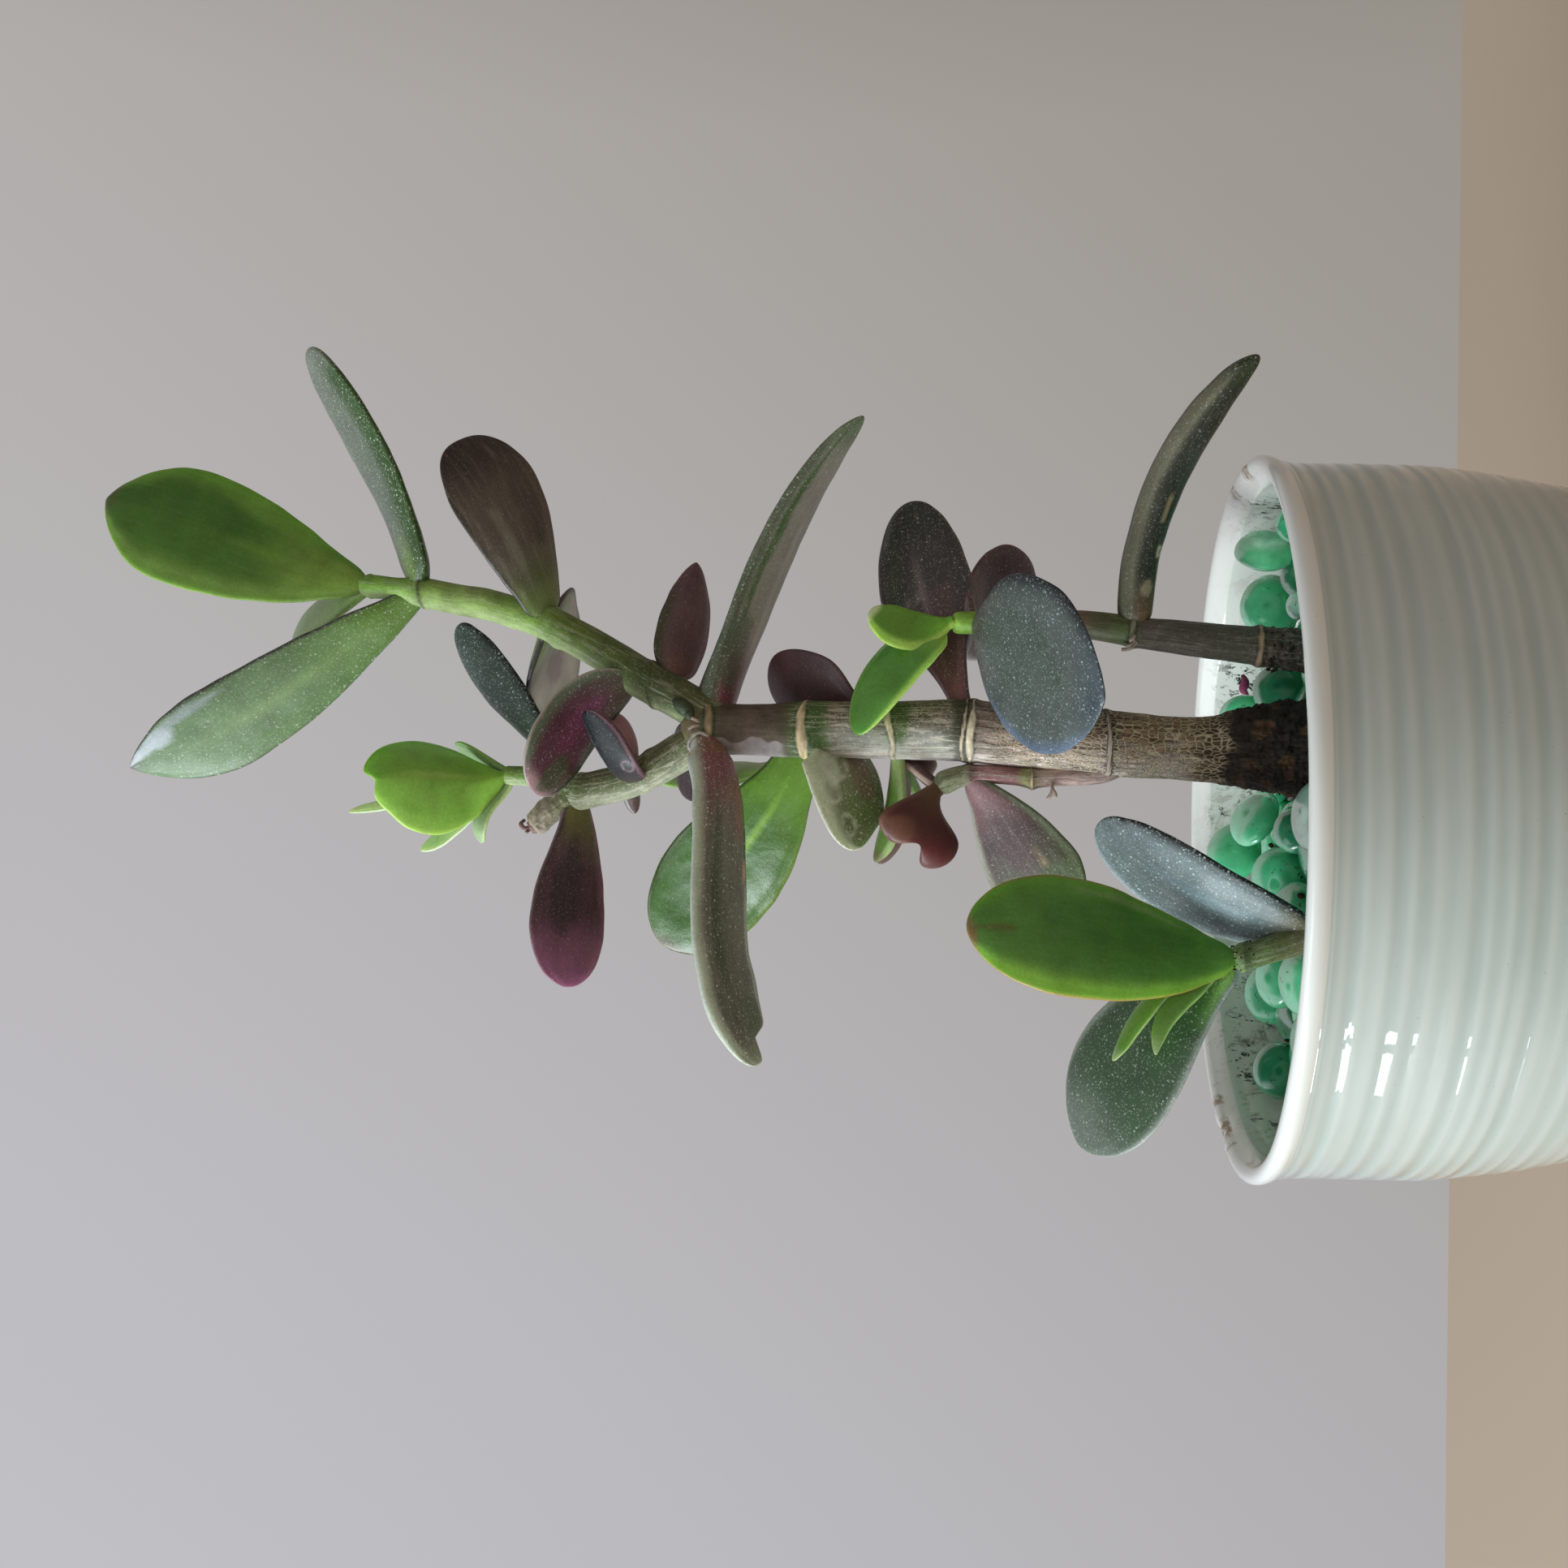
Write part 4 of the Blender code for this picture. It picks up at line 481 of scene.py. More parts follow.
def linear(colour):
    """A 0 to 255 display colour as linear light."""
    share = np.asarray(colour, float) / 255
    return np.where(share <= 0.04045, share / 12.92, ((share + 0.055) / 1.055) ** 2.4)


def rgba(colour):
    return tuple(float(v) for v in linear(colour)) + (1.0,)


def smooth(value, low, high):
    share = np.clip((value - low) / (high - low), 0, 1)
    return share * share * (3 - 2 * share)


def unit(vector):
    return vector / np.linalg.norm(vector, axis=-1, keepdims=True)


def ripple(points, scale, seed=0.0):
    """Smooth noise from -1 to 1 at each point."""
    flat = points.reshape(-1, 3) * scale + seed
    return np.array([noise.noise(Vector(p)) for p in flat.tolist()]).reshape(points.shape[:-1])


# Material building

class Graph:
    """One material's node tree, with short calls for the nodes used here."""

    def __init__(self, name, settings):
        self.material = bpy.data.materials.new(name)
        self.material.use_nodes = True
        self.tree = self.material.node_tree
        self.shader = self.tree.nodes["Principled BSDF"]
        for socket, value in settings.items():
            self.shader.inputs[socket].default_value = value

    def add(self, kind, inputs, out=0, **settings):
        node = self.tree.nodes.new(kind)
        for key, value in settings.items():
            setattr(node, key, value)
        for key, value in inputs.items():
            if isinstance(value, bpy.types.NodeSocket):
                self.tree.links.new(value, node.inputs[key])
            else:
                node.inputs[key].default_value = value
        return node.outputs[out]

    def place(self):
        return self.add("ShaderNodeTexCoord", {}, "Object")

    def field(self, name, out="Fac"):
        return self.add("ShaderNodeAttribute", {}, out, attribute_name=name)

    def stretch(self, vector, scale):
        return self.add("ShaderNodeVectorMath", {0: vector, 1: scale}, operation="MULTIPLY")

    def noise(self, vector, scale, detail=2.0, rough=0.5, bend=0.0):
        return self.add("ShaderNodeTexNoise", {"Vector": vector, "Scale": scale, "Detail": detail,
                                               "Roughness": rough, "Distortion": bend}, "Fac")

    def cells(self, vector, scale, out="Distance", spread=1.0):
        return self.add("ShaderNodeTexVoronoi", {"Vector": vector, "Scale": scale, "Randomness": spread},
                        out)

    def between(self, value, low, high, start=0.0, end=1.0):
        return self.add("ShaderNodeMapRange", {"Value": value, "From Min": low, "From Max": high,
                                               "To Min": start, "To Max": end})

    def sum(self, kind, a, b=0.0):
        return self.add("ShaderNodeMath", {0: a, 1: b}, operation=kind)

    def mix(self, share, a, b, blend="MIX"):
        return self.add("ShaderNodeMix", {0: share, 6: a, 7: b}, 2, data_type="RGBA", blend_type=blend)

    def shade(self, colour, value):
        """The colour made lighter or darker by a factor."""
        return self.add("ShaderNodeVectorMath", {0: colour, "Scale": value}, operation="SCALE")

    def bump(self, height, strength, distance, under=None):
        inputs = {"Height": height, "Strength": strength, "Distance": distance}
        if under is not None:
            inputs["Normal"] = under
        return self.add("ShaderNodeBump", inputs)

    def set(self, socket, value):
        self.tree.links.new(value, self.shader.inputs[socket])


def leaf_material(name, settings, dot_colour):
    """Waxy skin: the tint painted on the mesh, mottled, streaked along the leaf and dotted with pale pores."""
    g = Graph(name, settings)
    skin = g.field("skin", "Vector")
    tint = g.field("tint", "Color")
    dots = g.field("dots")
    grain = g.field("grain")
    mottle = g.noise(skin, 150.0, 4.0, 0.6)
    tint = g.shade(tint, g.between(mottle, 0.3, 0.7, 0.86, 1.14))
    fine = g.noise(skin, 1700.0, 2.0, 0.6)
    tint = g.shade(tint, g.between(fine, 0.3, 0.7, 0.90, 1.10))
    lines = g.noise(g.stretch(skin, (1100.0, 95.0, 700.0)), 1.0, 4.0, 0.65, 0.6)
    streak = g.sum("MULTIPLY", g.between(lines, 0.50, 0.80), grain)
    tint = g.mix(g.sum("MULTIPLY", streak, 0.30), tint, rgba((170, 166, 152)))
    dark = g.sum("MULTIPLY", g.between(lines, 0.50, 0.25), grain)
    tint = g.mix(g.sum("MULTIPLY", dark, 0.26), tint, rgba((38, 32, 28)))
    pores = g.cells(skin, 850.0)
    size = g.between(g.cells(skin, 850.0, "Color"), 0.1, 0.9, 0.10, 0.22)
    size = g.sum("MULTIPLY", size, g.between(dots, 0.3, 2.2, 0.85, 1.5))
    pore = g.sum("MULTIPLY", g.sum("LESS_THAN", pores, size), dots)
    dust = g.sum("MULTIPLY", g.between(g.cells(skin, 1700.0), 0.34, 0.18), dots)
    tint = g.mix(g.sum("MULTIPLY", pore, 0.62), tint, dot_colour)
    tint = g.mix(g.sum("MULTIPLY", dust, 0.34), tint, dot_colour)
    g.set("Base Color", tint)
    rough = g.sum("SUBTRACT", g.between(mottle, 0.3, 0.7, 0.46, 0.58),
                  g.sum("MULTIPLY", g.field("gloss"), 0.24))
    g.set("Roughness", g.sum("ADD", rough, g.sum("MULTIPLY", pore, 0.2)))
    swell = g.bump(g.noise(skin, 260.0, 2.0, 0.5), 0.22, 0.0006)
    pits = g.bump(g.noise(skin, 2100.0, 2.0, 0.6), 0.20, 0.00012, swell)
    ridges = g.bump(g.sum("MULTIPLY", lines, grain), 0.28, 0.00025, pits)
    g.set("Normal", g.bump(pore, 0.5, 0.00010, ridges))
    return g.material


def bark_material():
    """Young green skin to grey fissured bark: the tint painted on the mesh, with pale flecks that run along
    the stem, splits, and a net of pale cracks where the bark is old, each edged with painted shadow."""
    g = Graph("bark_detail", {"Roughness": 0.6, "Specular IOR Level": 0.35})
    skin = g.field("skin", "Vector")
    tint = g.field("tint", "Color")
    crack = g.field("crack")
    speck = g.field("dots")
    net = g.field("net")
    mottle = g.noise(skin, 260.0, 4.0, 0.65)
    tint = g.shade(tint, g.between(mottle, 0.3, 0.7, 0.70, 1.32))
    fibre = g.noise(g.stretch(skin, (1250.0, 130.0, 1250.0)), 1.0, 4.0, 0.7, 0.3)
    light = g.sum("MULTIPLY", g.between(fibre, 0.53, 0.59), speck)
    tint = g.mix(g.sum("MULTIPLY", light, 0.70), tint, rgba((206, 200, 184)))
    long = g.noise(g.stretch(skin, (1800.0, 50.0, 1800.0)), 1.0, 2.0, 0.6, 0.3)
    hair = g.sum("MULTIPLY", g.between(long, 0.62, 0.64), speck)
    tint = g.mix(g.sum("MULTIPLY", hair, 0.5), tint, rgba((216, 210, 188)))
    dim = g.sum("MULTIPLY", g.between(long, 0.38, 0.34), speck)
    tint = g.mix(g.sum("MULTIPLY", dim, 0.4), tint, rgba((52, 50, 40)))
    grit = g.cells(skin, 1300.0)
    grains = g.sum("MULTIPLY", g.between(grit, 0.28, 0.20), speck)
    tint = g.mix(g.sum("MULTIPLY", grains, 0.6), tint, rgba((214, 212, 198)))
    split = g.noise(g.stretch(skin, (900.0, 110.0, 900.0)), 1.0, 5.0, 0.72, 0.8)
    groove = g.sum("MULTIPLY", g.between(split, 0.46, 0.38), crack)
    tint = g.mix(g.sum("MULTIPLY", groove, 0.85), tint, rgba((44, 30, 22)))
    warp = g.shade(g.add("ShaderNodeTexNoise", {"Vector": skin, "Scale": 500.0}, "Color"), 0.6)
    warped = g.add("ShaderNodeVectorMath", {0: g.stretch(skin, (1150.0, 620.0, 1150.0)), 1: warp},
                   operation="ADD")
    cell = g.add("ShaderNodeTexVoronoi", {"Vector": warped, "Scale": 1.0, "Randomness": 0.75}, "Distance",
                 feature="DISTANCE_TO_EDGE")
    seam = g.sum("MULTIPLY", g.between(cell, 0.15, 0.06), net)
    worn = g.between(g.noise(skin, 330.0, 3.0, 0.6), 0.30, 0.42)
    # Painted shadow: a darker band inside each cell, along the raised pale seams
    seam_shadow = g.sum("MULTIPLY", g.between(cell, 0.30, 0.18), net)
    tint = g.mix(g.sum("MULTIPLY", seam_shadow, 0.42), tint, rgba((74, 54, 42)))
    seam = g.sum("MULTIPLY", seam, worn)
    tint = g.mix(g.sum("MULTIPLY", seam, 0.66), tint, rgba((226, 204, 172)))
    g.set("Base Color", tint)
    g.set("Roughness", g.between(g.sum("ADD", mottle, crack), 0.3, 1.5, 0.42, 0.85))
    low = g.bump(g.noise(skin, 420.0, 4.0, 0.6), 0.45, 0.0007)
    deep = g.bump(g.sum("MULTIPLY", g.between(split, 0.38, 0.50), crack), 0.8, 0.0006, low)
    raised = g.bump(seam, 0.7, 0.0003, deep)
    g.set("Normal", g.bump(fibre, 0.35, 0.0003, raised))
    return g.material


def glaze_material():
    """Pale green glaze, paler where it thins over the lip and ring crests, with soil stains inside."""
    g = Graph("glaze_detail", {"Roughness": 0.30, "Coat Weight": 1.0, "Coat Roughness": 0.035,
                               "Coat IOR": 1.5,
                               "Specular IOR Level": 0.3, "Subsurface Weight": 0.30,
                               "Subsurface Radius": (0.006, 0.006, 0.0055)})
    place = g.place()
    thin = g.field("thin")
    inside = g.field("inside")
    soiled = g.field("soiled")
    chip = g.field("chip")
    cloud = g.noise(place, 38.0, 4.0, 0.6)
    body = g.mix(g.between(cloud, 0.3, 0.7), rgba((168, 180, 174)), rgba((177, 187, 182)))
    body = g.mix(thin, body, rgba((228, 230, 226)))
    wipe = g.noise(g.stretch(place, (26.0, 26.0, 420.0)), 1.0, 4.0, 0.6)
    body = g.shade(body, g.between(wipe, 0.3, 0.7, 0.96, 1.04))
    body = g.mix(inside, body, rgba((250, 245, 240)))
    iron = g.cells(place, 260.0)
    spot = g.sum("MULTIPLY", g.between(iron, 0.045, 0.02), 0.5)
    body = g.mix(spot, body, rgba((130, 110, 84)))
    stain = g.sum("MULTIPLY", g.between(g.noise(place, 110.0, 5.0, 0.7, 0.8), 0.54, 0.64), soiled)
    body = g.mix(g.sum("MULTIPLY", stain, 0.55), body, rgba((138, 108, 78)))
    fleck = g.between(g.noise(g.stretch(place, (520.0, 520.0, 340.0)), 1.0, 4.0, 0.8), 0.55, 0.58)
    patch = g.between(g.noise(place, 70.0, 3.0, 0.6), 0.44, 0.54)
    dirt = g.sum("MULTIPLY", g.sum("MULTIPLY", fleck, patch), g.between(soiled, 0.3, 0.9))
    body = g.mix(dirt, body, rgba((34, 28, 24)))
    chip = g.sum("MULTIPLY", chip, g.between(g.noise(place, 800.0, 3.0, 0.7), 0.40, 0.52))
    body = g.mix(chip, body, rgba((158, 132, 104)))
    g.set("Base Color", body)
    g.set("Coat Weight", g.sum("SUBTRACT", 1.0, g.sum("MAXIMUM", g.sum("MULTIPLY", dirt, 0.8), chip)))
    peel = g.bump(g.noise(place, 300.0, 2.0, 0.5), 0.04, 0.0004)
    wheel = g.bump(g.noise(g.stretch(place, (11.0, 11.0, 300.0)), 1.0, 1.0, 0.4, 0.3), 0.7, 0.0009)
    g.set("Coat Normal", g.bump(g.field("crest"), 1.0, 0.00026, wheel))
    g.set("Normal", g.bump(dirt, 0.7, 0.0003, peel))
    return g.material


def glass_material():
    """Sea-green cast glass, clouded inside, with soil crumbs and scuffs on it."""
    g = Graph("glass_detail", {"IOR": 1.45, "Transmission Weight": 0.30, "Specular IOR Level": 0.4,
                               "Coat Weight": 0.12, "Coat Roughness": 0.06, "Subsurface Weight": 0.65,
                               "Subsurface Radius": (0.0020, 0.0090, 0.0055)})
    place = g.place()
    tone = g.field("tint", "Color")
    cloud = g.noise(place, 130.0, 3.0, 0.6, 0.5)
    body = g.shade(tone, g.between(cloud, 0.3, 0.7, 0.72, 1.25))
    wisp = g.between(g.noise(place, 260.0, 4.0, 0.6, 1.5), 0.58, 0.78)
    body = g.mix(g.sum("MULTIPLY", wisp, 0.18), body, rgba((150, 214, 184)))
    scuff = g.between(g.noise(g.stretch(place, (600.0, 600.0, 300.0)), 1.0, 5.0, 0.75, 1.0), 0.66, 0.72)
    worn = g.between(g.noise(place, 70.0, 2.0, 0.5), 0.52, 0.62)
    scuff = g.sum("MULTIPLY", scuff, worn)
    body = g.mix(g.sum("MULTIPLY", scuff, 0.5), body, rgba((206, 226, 216)))
    crumb = g.between(g.noise(place, 700.0, 3.0, 0.7), 0.62, 0.65)
    patch = g.between(g.noise(place, 90.0, 2.0, 0.6), 0.46, 0.58)
    dirt = g.sum("MULTIPLY", crumb, patch)
    body = g.mix(dirt, body, rgba((48, 38, 30)))
    g.set("Base Color", body)
    g.set("Roughness", g.sum("ADD", g.between(cloud, 0.3, 0.7, 0.14, 0.28), g.sum("MULTIPLY", scuff, 0.3)))
    g.set("Normal", g.bump(g.sum("ADD", dirt, g.sum("MULTIPLY", cloud, 0.3)), 0.25, 0.0004))
    return g.material


def soil_material():
    g = Graph("soil_detail", {"Roughness": 0.95, "Specular IOR Level": 0.25})
    place = g.place()
    lump = g.noise(place, 420.0, 6.0, 0.7)
    body = g.mix(g.between(lump, 0.35, 0.65), rgba((26, 19, 15)), rgba((72, 52, 38)))
    straw = g.between(g.noise(g.stretch(place, (900.0, 240.0, 900.0)), 1.0, 3.0, 0.6), 0.68, 0.72)
    body = g.mix(g.sum("MULTIPLY", straw, 0.6), body, rgba((150, 118, 78)))
    grit = g.between(g.cells(place, 700.0), 0.12, 0.06)
    body = g.mix(g.sum("MULTIPLY", grit, 0.5), body, rgba((176, 168, 154)))
    g.set("Base Color", body)
    g.set("Normal", g.bump(lump, 0.9, 0.0012))
    return g.material


def plain_material(name, colour, rough, grain_scale=900.0):
    """A small matt piece with a little fibre and tone in it."""
    g = Graph(name, {"Roughness": rough})
    place = g.place()
    tone = g.noise(place, grain_scale, 4.0, 0.6)
    g.set("Base Color", g.shade(g.mix(g.between(tone, 0.3, 0.7), rgba(colour),
                                      rgba([0.7 * v for v in colour])), 1.0))
    g.set("Normal", g.bump(tone, 0.4, 0.0004))
    return g.material


# Mesh building

def mesh_object(name, points, faces, material, fields=None):
    """An object from arrays, with smooth faces and its painted fields."""
    mesh = bpy.data.meshes.new(name)
    mesh.from_pydata(points.tolist(), [], faces)
    for key, values in (fields or {}).items():
        values = np.asarray(values, np.float32)
        kind, slot = {4: ("FLOAT_COLOR", "color"), 3: ("FLOAT_VECTOR", "vector")}.get(
            values.shape[-1] if values.ndim > 1 else 1, ("FLOAT", "value"))
        mesh.attributes.new(key, kind, "POINT").data.foreach_set(slot, values.ravel())
    mesh.polygons.foreach_set("use_smooth", [True] * len(mesh.polygons))
    mesh.materials.append(material)
    mesh.update()
    made = bpy.data.objects.new(name, mesh)
    bpy.context.scene.collection.objects.link(made)
    return made


def ring_faces(rings, sides, start_cap=True, end_cap=True, offset=0):
    faces = []
    for i in range(rings - 1):
        low, high = offset + i * sides, offset + (i + 1) * sides
        for j in range(sides):
            k = (j + 1) % sides
            faces.append((low + j, low + k, high + k, high + j))
    if start_cap:
        faces.append(tuple(offset + j for j in range(sides))[::-1])
    if end_cap:
        faces.append(tuple(offset + (rings - 1) * sides + j for j in range(sides)))
    return faces


def with_alpha(colours):
    return np.concatenate([colours, np.ones(colours.shape[:-1] + (1,))], axis=-1)


# Leaves

def leaf_outline(design):
    """Places along the leaf from foot to tip, with the share of full width and thickness at each."""
    widest = design["widest"]
    low = np.linspace(0, 1, LEAF_LOW_SPANS + 1)
    high = np.sin(np.linspace(0, math.pi / 2, LEAF_HIGH_SPANS + 1))[1:]
    low_width = design["stalk"] + (1 - design["stalk"]) * np.sin(math.pi / 2 * low ** design["flare"]) ** 2
    high_width = np.maximum(1 - high ** 2, 0) ** design["blunt"]
    along = np.concatenate([widest * low, widest + (1 - widest) * high])
    wide = np.concatenate([low_width, high_width])
    thick = np.concatenate([np.ones_like(low), np.sqrt(np.maximum(1 - high ** 3, 0))])
    return along, wide, thick


def stem_reach(place):
    """The radius of the stem at the point of its axis nearest to a place."""
    rows = [row for path in STEMS for row in path]
    nearest = min(rows, key=lambda row: sum((a - b) ** 2 for a, b in zip(row[0], place)))
    return nearest[1]


def least(a, b):
    """The smaller of two lengths, with a soft change from one to the other."""
    return 1 / (a ** -4.0 + b ** -4.0) ** 0.25


def leaf_rings(design, seed):
    heading, rise = math.radians(design["heading"]), math.radians(design["rise"])
    chord = np.array([math.cos(rise) * math.cos(heading), math.cos(rise) * math.sin(heading),
                      math.sin(rise)])
    foot = np.array(NODES[design["at"]], float)
    face = np.array(design["face"], float)
    top = unit(face - face @ chord * chord)
    side = np.cross(top, chord)
    length = design["length"]
    third = foot + chord * length / 3 + top * design["bend"][0] + side * design["sway"][0]
    two_thirds = foot + chord * length * 2 / 3 + top * design["bend"][1] + side * design["sway"][1]
    tip = foot + chord * length
    along, wide, thick = leaf_outline(design)
    t = along[:, None]
    back = 1 - t
    middle = back ** 3 * foot + 3 * t * back ** 2 * third + 3 * t ** 2 * back * two_thirds + t ** 3 * tip
    ahead = unit(back ** 2 * (third - foot) + 2 * t * back * (two_thirds - third) + t ** 2
                 * (tip - two_thirds))
    across = unit(side - (ahead @ side)[:, None] * ahead)
    above = np.cross(ahead, across)
    turn = np.arange(LEAF_SIDES) * 2 * math.pi / LEAF_SIDES
    flat = np.cos(turn)
    round_share = np.sign(np.sin(turn)) * np.abs(np.sin(turn)) ** design["edge"]
    run = along * length
    reach = stem_reach(foot)
    half_width = design["width"] / 2 * wide
    half_thick = design["thick"] / 2 * thick * (1 + design["swell"] * np.exp(-(run / 0.014) ** 2))
    # Inside the stem the foot is slimmer than the stem, and it spreads as it leaves it
    half_width = least(np.maximum(half_width, 1e-6), 0.80 * reach + np.maximum(run - 0.6 * reach, 0) * 1.9)
    half_thick = least(np.maximum(half_thick, 1e-6), 0.80 * reach + np.maximum(run - 0.6 * reach, 0) * 1.9)
    fold = design["crease"] * (np.sqrt(flat ** 2 + 0.008) - 0.09)
    x = half_width[:, None] * flat[None]
    if design["bite"]:
        start, sign, left = design["bite"]
        gone = smooth(along, start, start + 0.012)[:, None] * (flat[None] * sign > 0)
        x = x * (1 - (1 - left) * gone)
    z = half_thick[:, None] * round_share[None] + half_width[:, None] * fold[None]
    # A shallow furrow inside each margin leaves the rim standing a little proud
    furrow = np.exp(-((np.abs(flat) - 0.86) / 0.07) ** 2) * np.abs(round_share)
    z = z - half_thick[:, None] * (0.20 * furrow * np.sign(round_share))[None]
    local = np.stack([x, np.broadcast_to(t * length, x.shape), z], axis=-1)
    body = smooth(run, 0.001, 0.008) * smooth(length - run, 0.0, 0.004)
    sway = ripple(local, 70.0, seed) * 0.00045 + ripple(local, 240.0, seed + 9) * 0.00012
    z = z + sway * body[:, None]
    edge = ripple(local * np.array([1.0, 1.0, 0.0]), 160.0, seed + 21) * 0.00030
    x = x + edge * body[:, None] * flat[None]
    dent = -design["notch"] * t ** 6 * np.exp(-(x / (design["notch_width"] * design["width"])) ** 2)
    rings = middle[:, None] + across[:, None] * x[..., None] + above[:, None] * z[..., None]
    rings = rings + ahead[:, None] * dent[..., None]
    return rings, local, along, flat, np.sin(turn)


def leaf_tint(design, local, along, flat, up, seed):
    """Linear colour at each point of the leaf, from its skin's named colours, and how much of the tiny
    pale dots shows there."""
    skin = SKINS[design["name"]]
    wander = ripple(local, 130.0, seed + 40)[..., None]
    frayed = ripple(local, 420.0, seed + 44)[..., None]
    a = np.broadcast_to(along[:, None, None], local.shape[:2] + (1,)) + 0.04 * wander
    c = np.broadcast_to(flat[None, :, None], local.shape[:2] + (1,))
    u = np.broadcast_to(up[None, :, None], local.shape[:2] + (1,))
    upper, lower = linear(skin["upper"]), linear(skin["lower"])
    face = smooth(u, -0.12, 0.12)
    tint = lower + (upper - lower) * face
    if "rib" in skin:
        width = skin.get("rib_width", 0.10)
        rib = np.exp(-(c / width) ** 2) * (1 - smooth(a, 0.5, 0.95)) * 0.8
        tint = tint + (linear(skin["rib"]) - tint) * rib
    if "foot" in skin:
        colour, reach = skin["foot"]
        tint = tint + (linear(colour) - tint) * (1 - smooth(a, 0.25 * reach, 1.6 * reach))
    if "edges" in skin:
        reach = skin.get("edge_reach", 0.12)
        near = smooth(np.abs(c) + 0.04 * wander, 1 - 1.5 * reach, 1 - 0.3 * reach)
        tint_edge = np.where(c > 0, linear(skin["edges"][0]), linear(skin["edges"][1]))
        tint = tint + (tint_edge - tint) * near
    if "tip" in skin:
        colour, reach = skin["tip"]
        tint = tint + (linear(colour) - tint) * smooth(a, 1 - 1.5 * reach, 1 - 0.3 * reach)
    # Patches: blotches of the skin's own colour, and on some skins painted sheen
    for colour, place, side, long, broad, strength in skin.get("patches", ()):
        spread = ((a - place) / long) ** 2 + ((c - side) / broad) ** 2 + 0.35 * frayed + 0.25 * wander
        tint = tint + (linear(colour) - tint) * strength * (1 - smooth(spread, 0.5, 1.1))
    for colour, place, side, radius in skin.get("scars", ()):
        middle = np.array([side * design["width"] / 2, place * design["length"], 0.0])
        gap = np.linalg.norm((local - middle)[..., :2], axis=-1, keepdims=True) / radius
        tint = tint + (linear(colour) - tint) * 0.6 * np.exp(-((gap - 1 - 0.1 * wander) / 0.16) ** 2)
    # The line on the very margin: the margin's own colour, and on some skins a pale painted highlight
    if "rim" in skin:
        line = smooth(np.abs(c), 0.955, 0.985)
        tint = tint + (linear(skin["rim"]) - tint) * line * 0.8
    dots = skin.get("dots", 0.2) * (0.75 + 0.25 * np.maximum(face, smooth(np.abs(c), 0.6, 0.9)))
    return tint * skin.get("gain", 1.0), dots[..., 0]


def build_leaf(design, material, index):
    seed = 3.7 * index
    rings, local, along, flat, up = leaf_rings(design, seed)
    tint, dots = leaf_tint(design, local, along, flat, up, seed)
    skin = SKINS[design["name"]]
    count, sides = rings.shape[:2]
    body = rings[:-1].reshape(-1, 3)
    tip = rings[-1].mean(axis=0)
    points = np.concatenate([body, tip[None]])
    faces = ring_faces(count - 1, sides, end_cap=False)
    last = (count - 2) * sides
    faces += [(last + j, last + (j + 1) % sides, len(body)) for j in range(sides)]
    fields = {
        "tint": with_alpha(np.concatenate([tint[:-1].reshape(-1, 3), tint[-1].mean(axis=0)[None]])),
        "skin": np.concatenate([local[:-1].reshape(-1, 3),
                                local[-1].mean(axis=0)[None]]) + 0.2 * (index + 1),
        "dots": np.concatenate([dots[:-1].ravel(), dots[-1:].mean(axis=1)]),
        "grain": np.full(len(points), skin.get("grain", 0.0)),
        "gloss": np.full(len(points), skin.get("gloss", 0.5)),
    }
    piece = mesh_object("jade_" + design["name"], points, faces, material, fields)
    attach(piece, "root")
    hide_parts("leaf_" + design["name"])
    return piece


# Stems

def smooth_path(path, step):
    """The path resampled along smooth curves through its points."""
    points = np.array([row[0] for row in path], float)
    radii = np.array([row[1] for row in path], float)
    table = np.concatenate([points, radii[:, None]], axis=1)
    spans = np.linalg.norm(np.diff(points, axis=0), axis=1)
    ends = np.concatenate([table[:1] * 2 - table[1:2], table, table[-1:] * 2 - table[-2:-1]])
    out = []
    for i, span in enumerate(spans):
        count = max(2, int(round(span / step)))
        t = np.linspace(0, 1, count, endpoint=False)[:, None]
        p0, p1, p2, p3 = ends[i], ends[i + 1], ends[i + 2], ends[i + 3]
        out.append(0.5 * (2 * p1 + (p2 - p0) * t + (2 * p0 - 5 * p1 + 4 * p2 - p3) * t ** 2
                          + (3 * p1 - p0 - 3 * p2 + p3) * t ** 3))
    out.append(table[-1:])
    rows = np.concatenate(out)
    return rows[:, :3], np.maximum(rows[:, 3], 0.0004)


def stem_rings(path, step, sides):
    centre, radius = smooth_path(path, step)
    ahead = unit(np.gradient(centre, axis=0))
    side = unit(np.cross(ahead, np.array([0.0, 1.0, 0.0])))
    back = np.cross(side, ahead)
    turn = np.arange(sides) * 2 * math.pi / sides
    out = side[:, None] * np.cos(turn)[None, :, None] + back[:, None] * np.sin(turn)[None, :, None]
    run = np.concatenate([[0], np.cumsum(np.linalg.norm(np.diff(centre, axis=0), axis=1))])
    return centre, radius, out, run


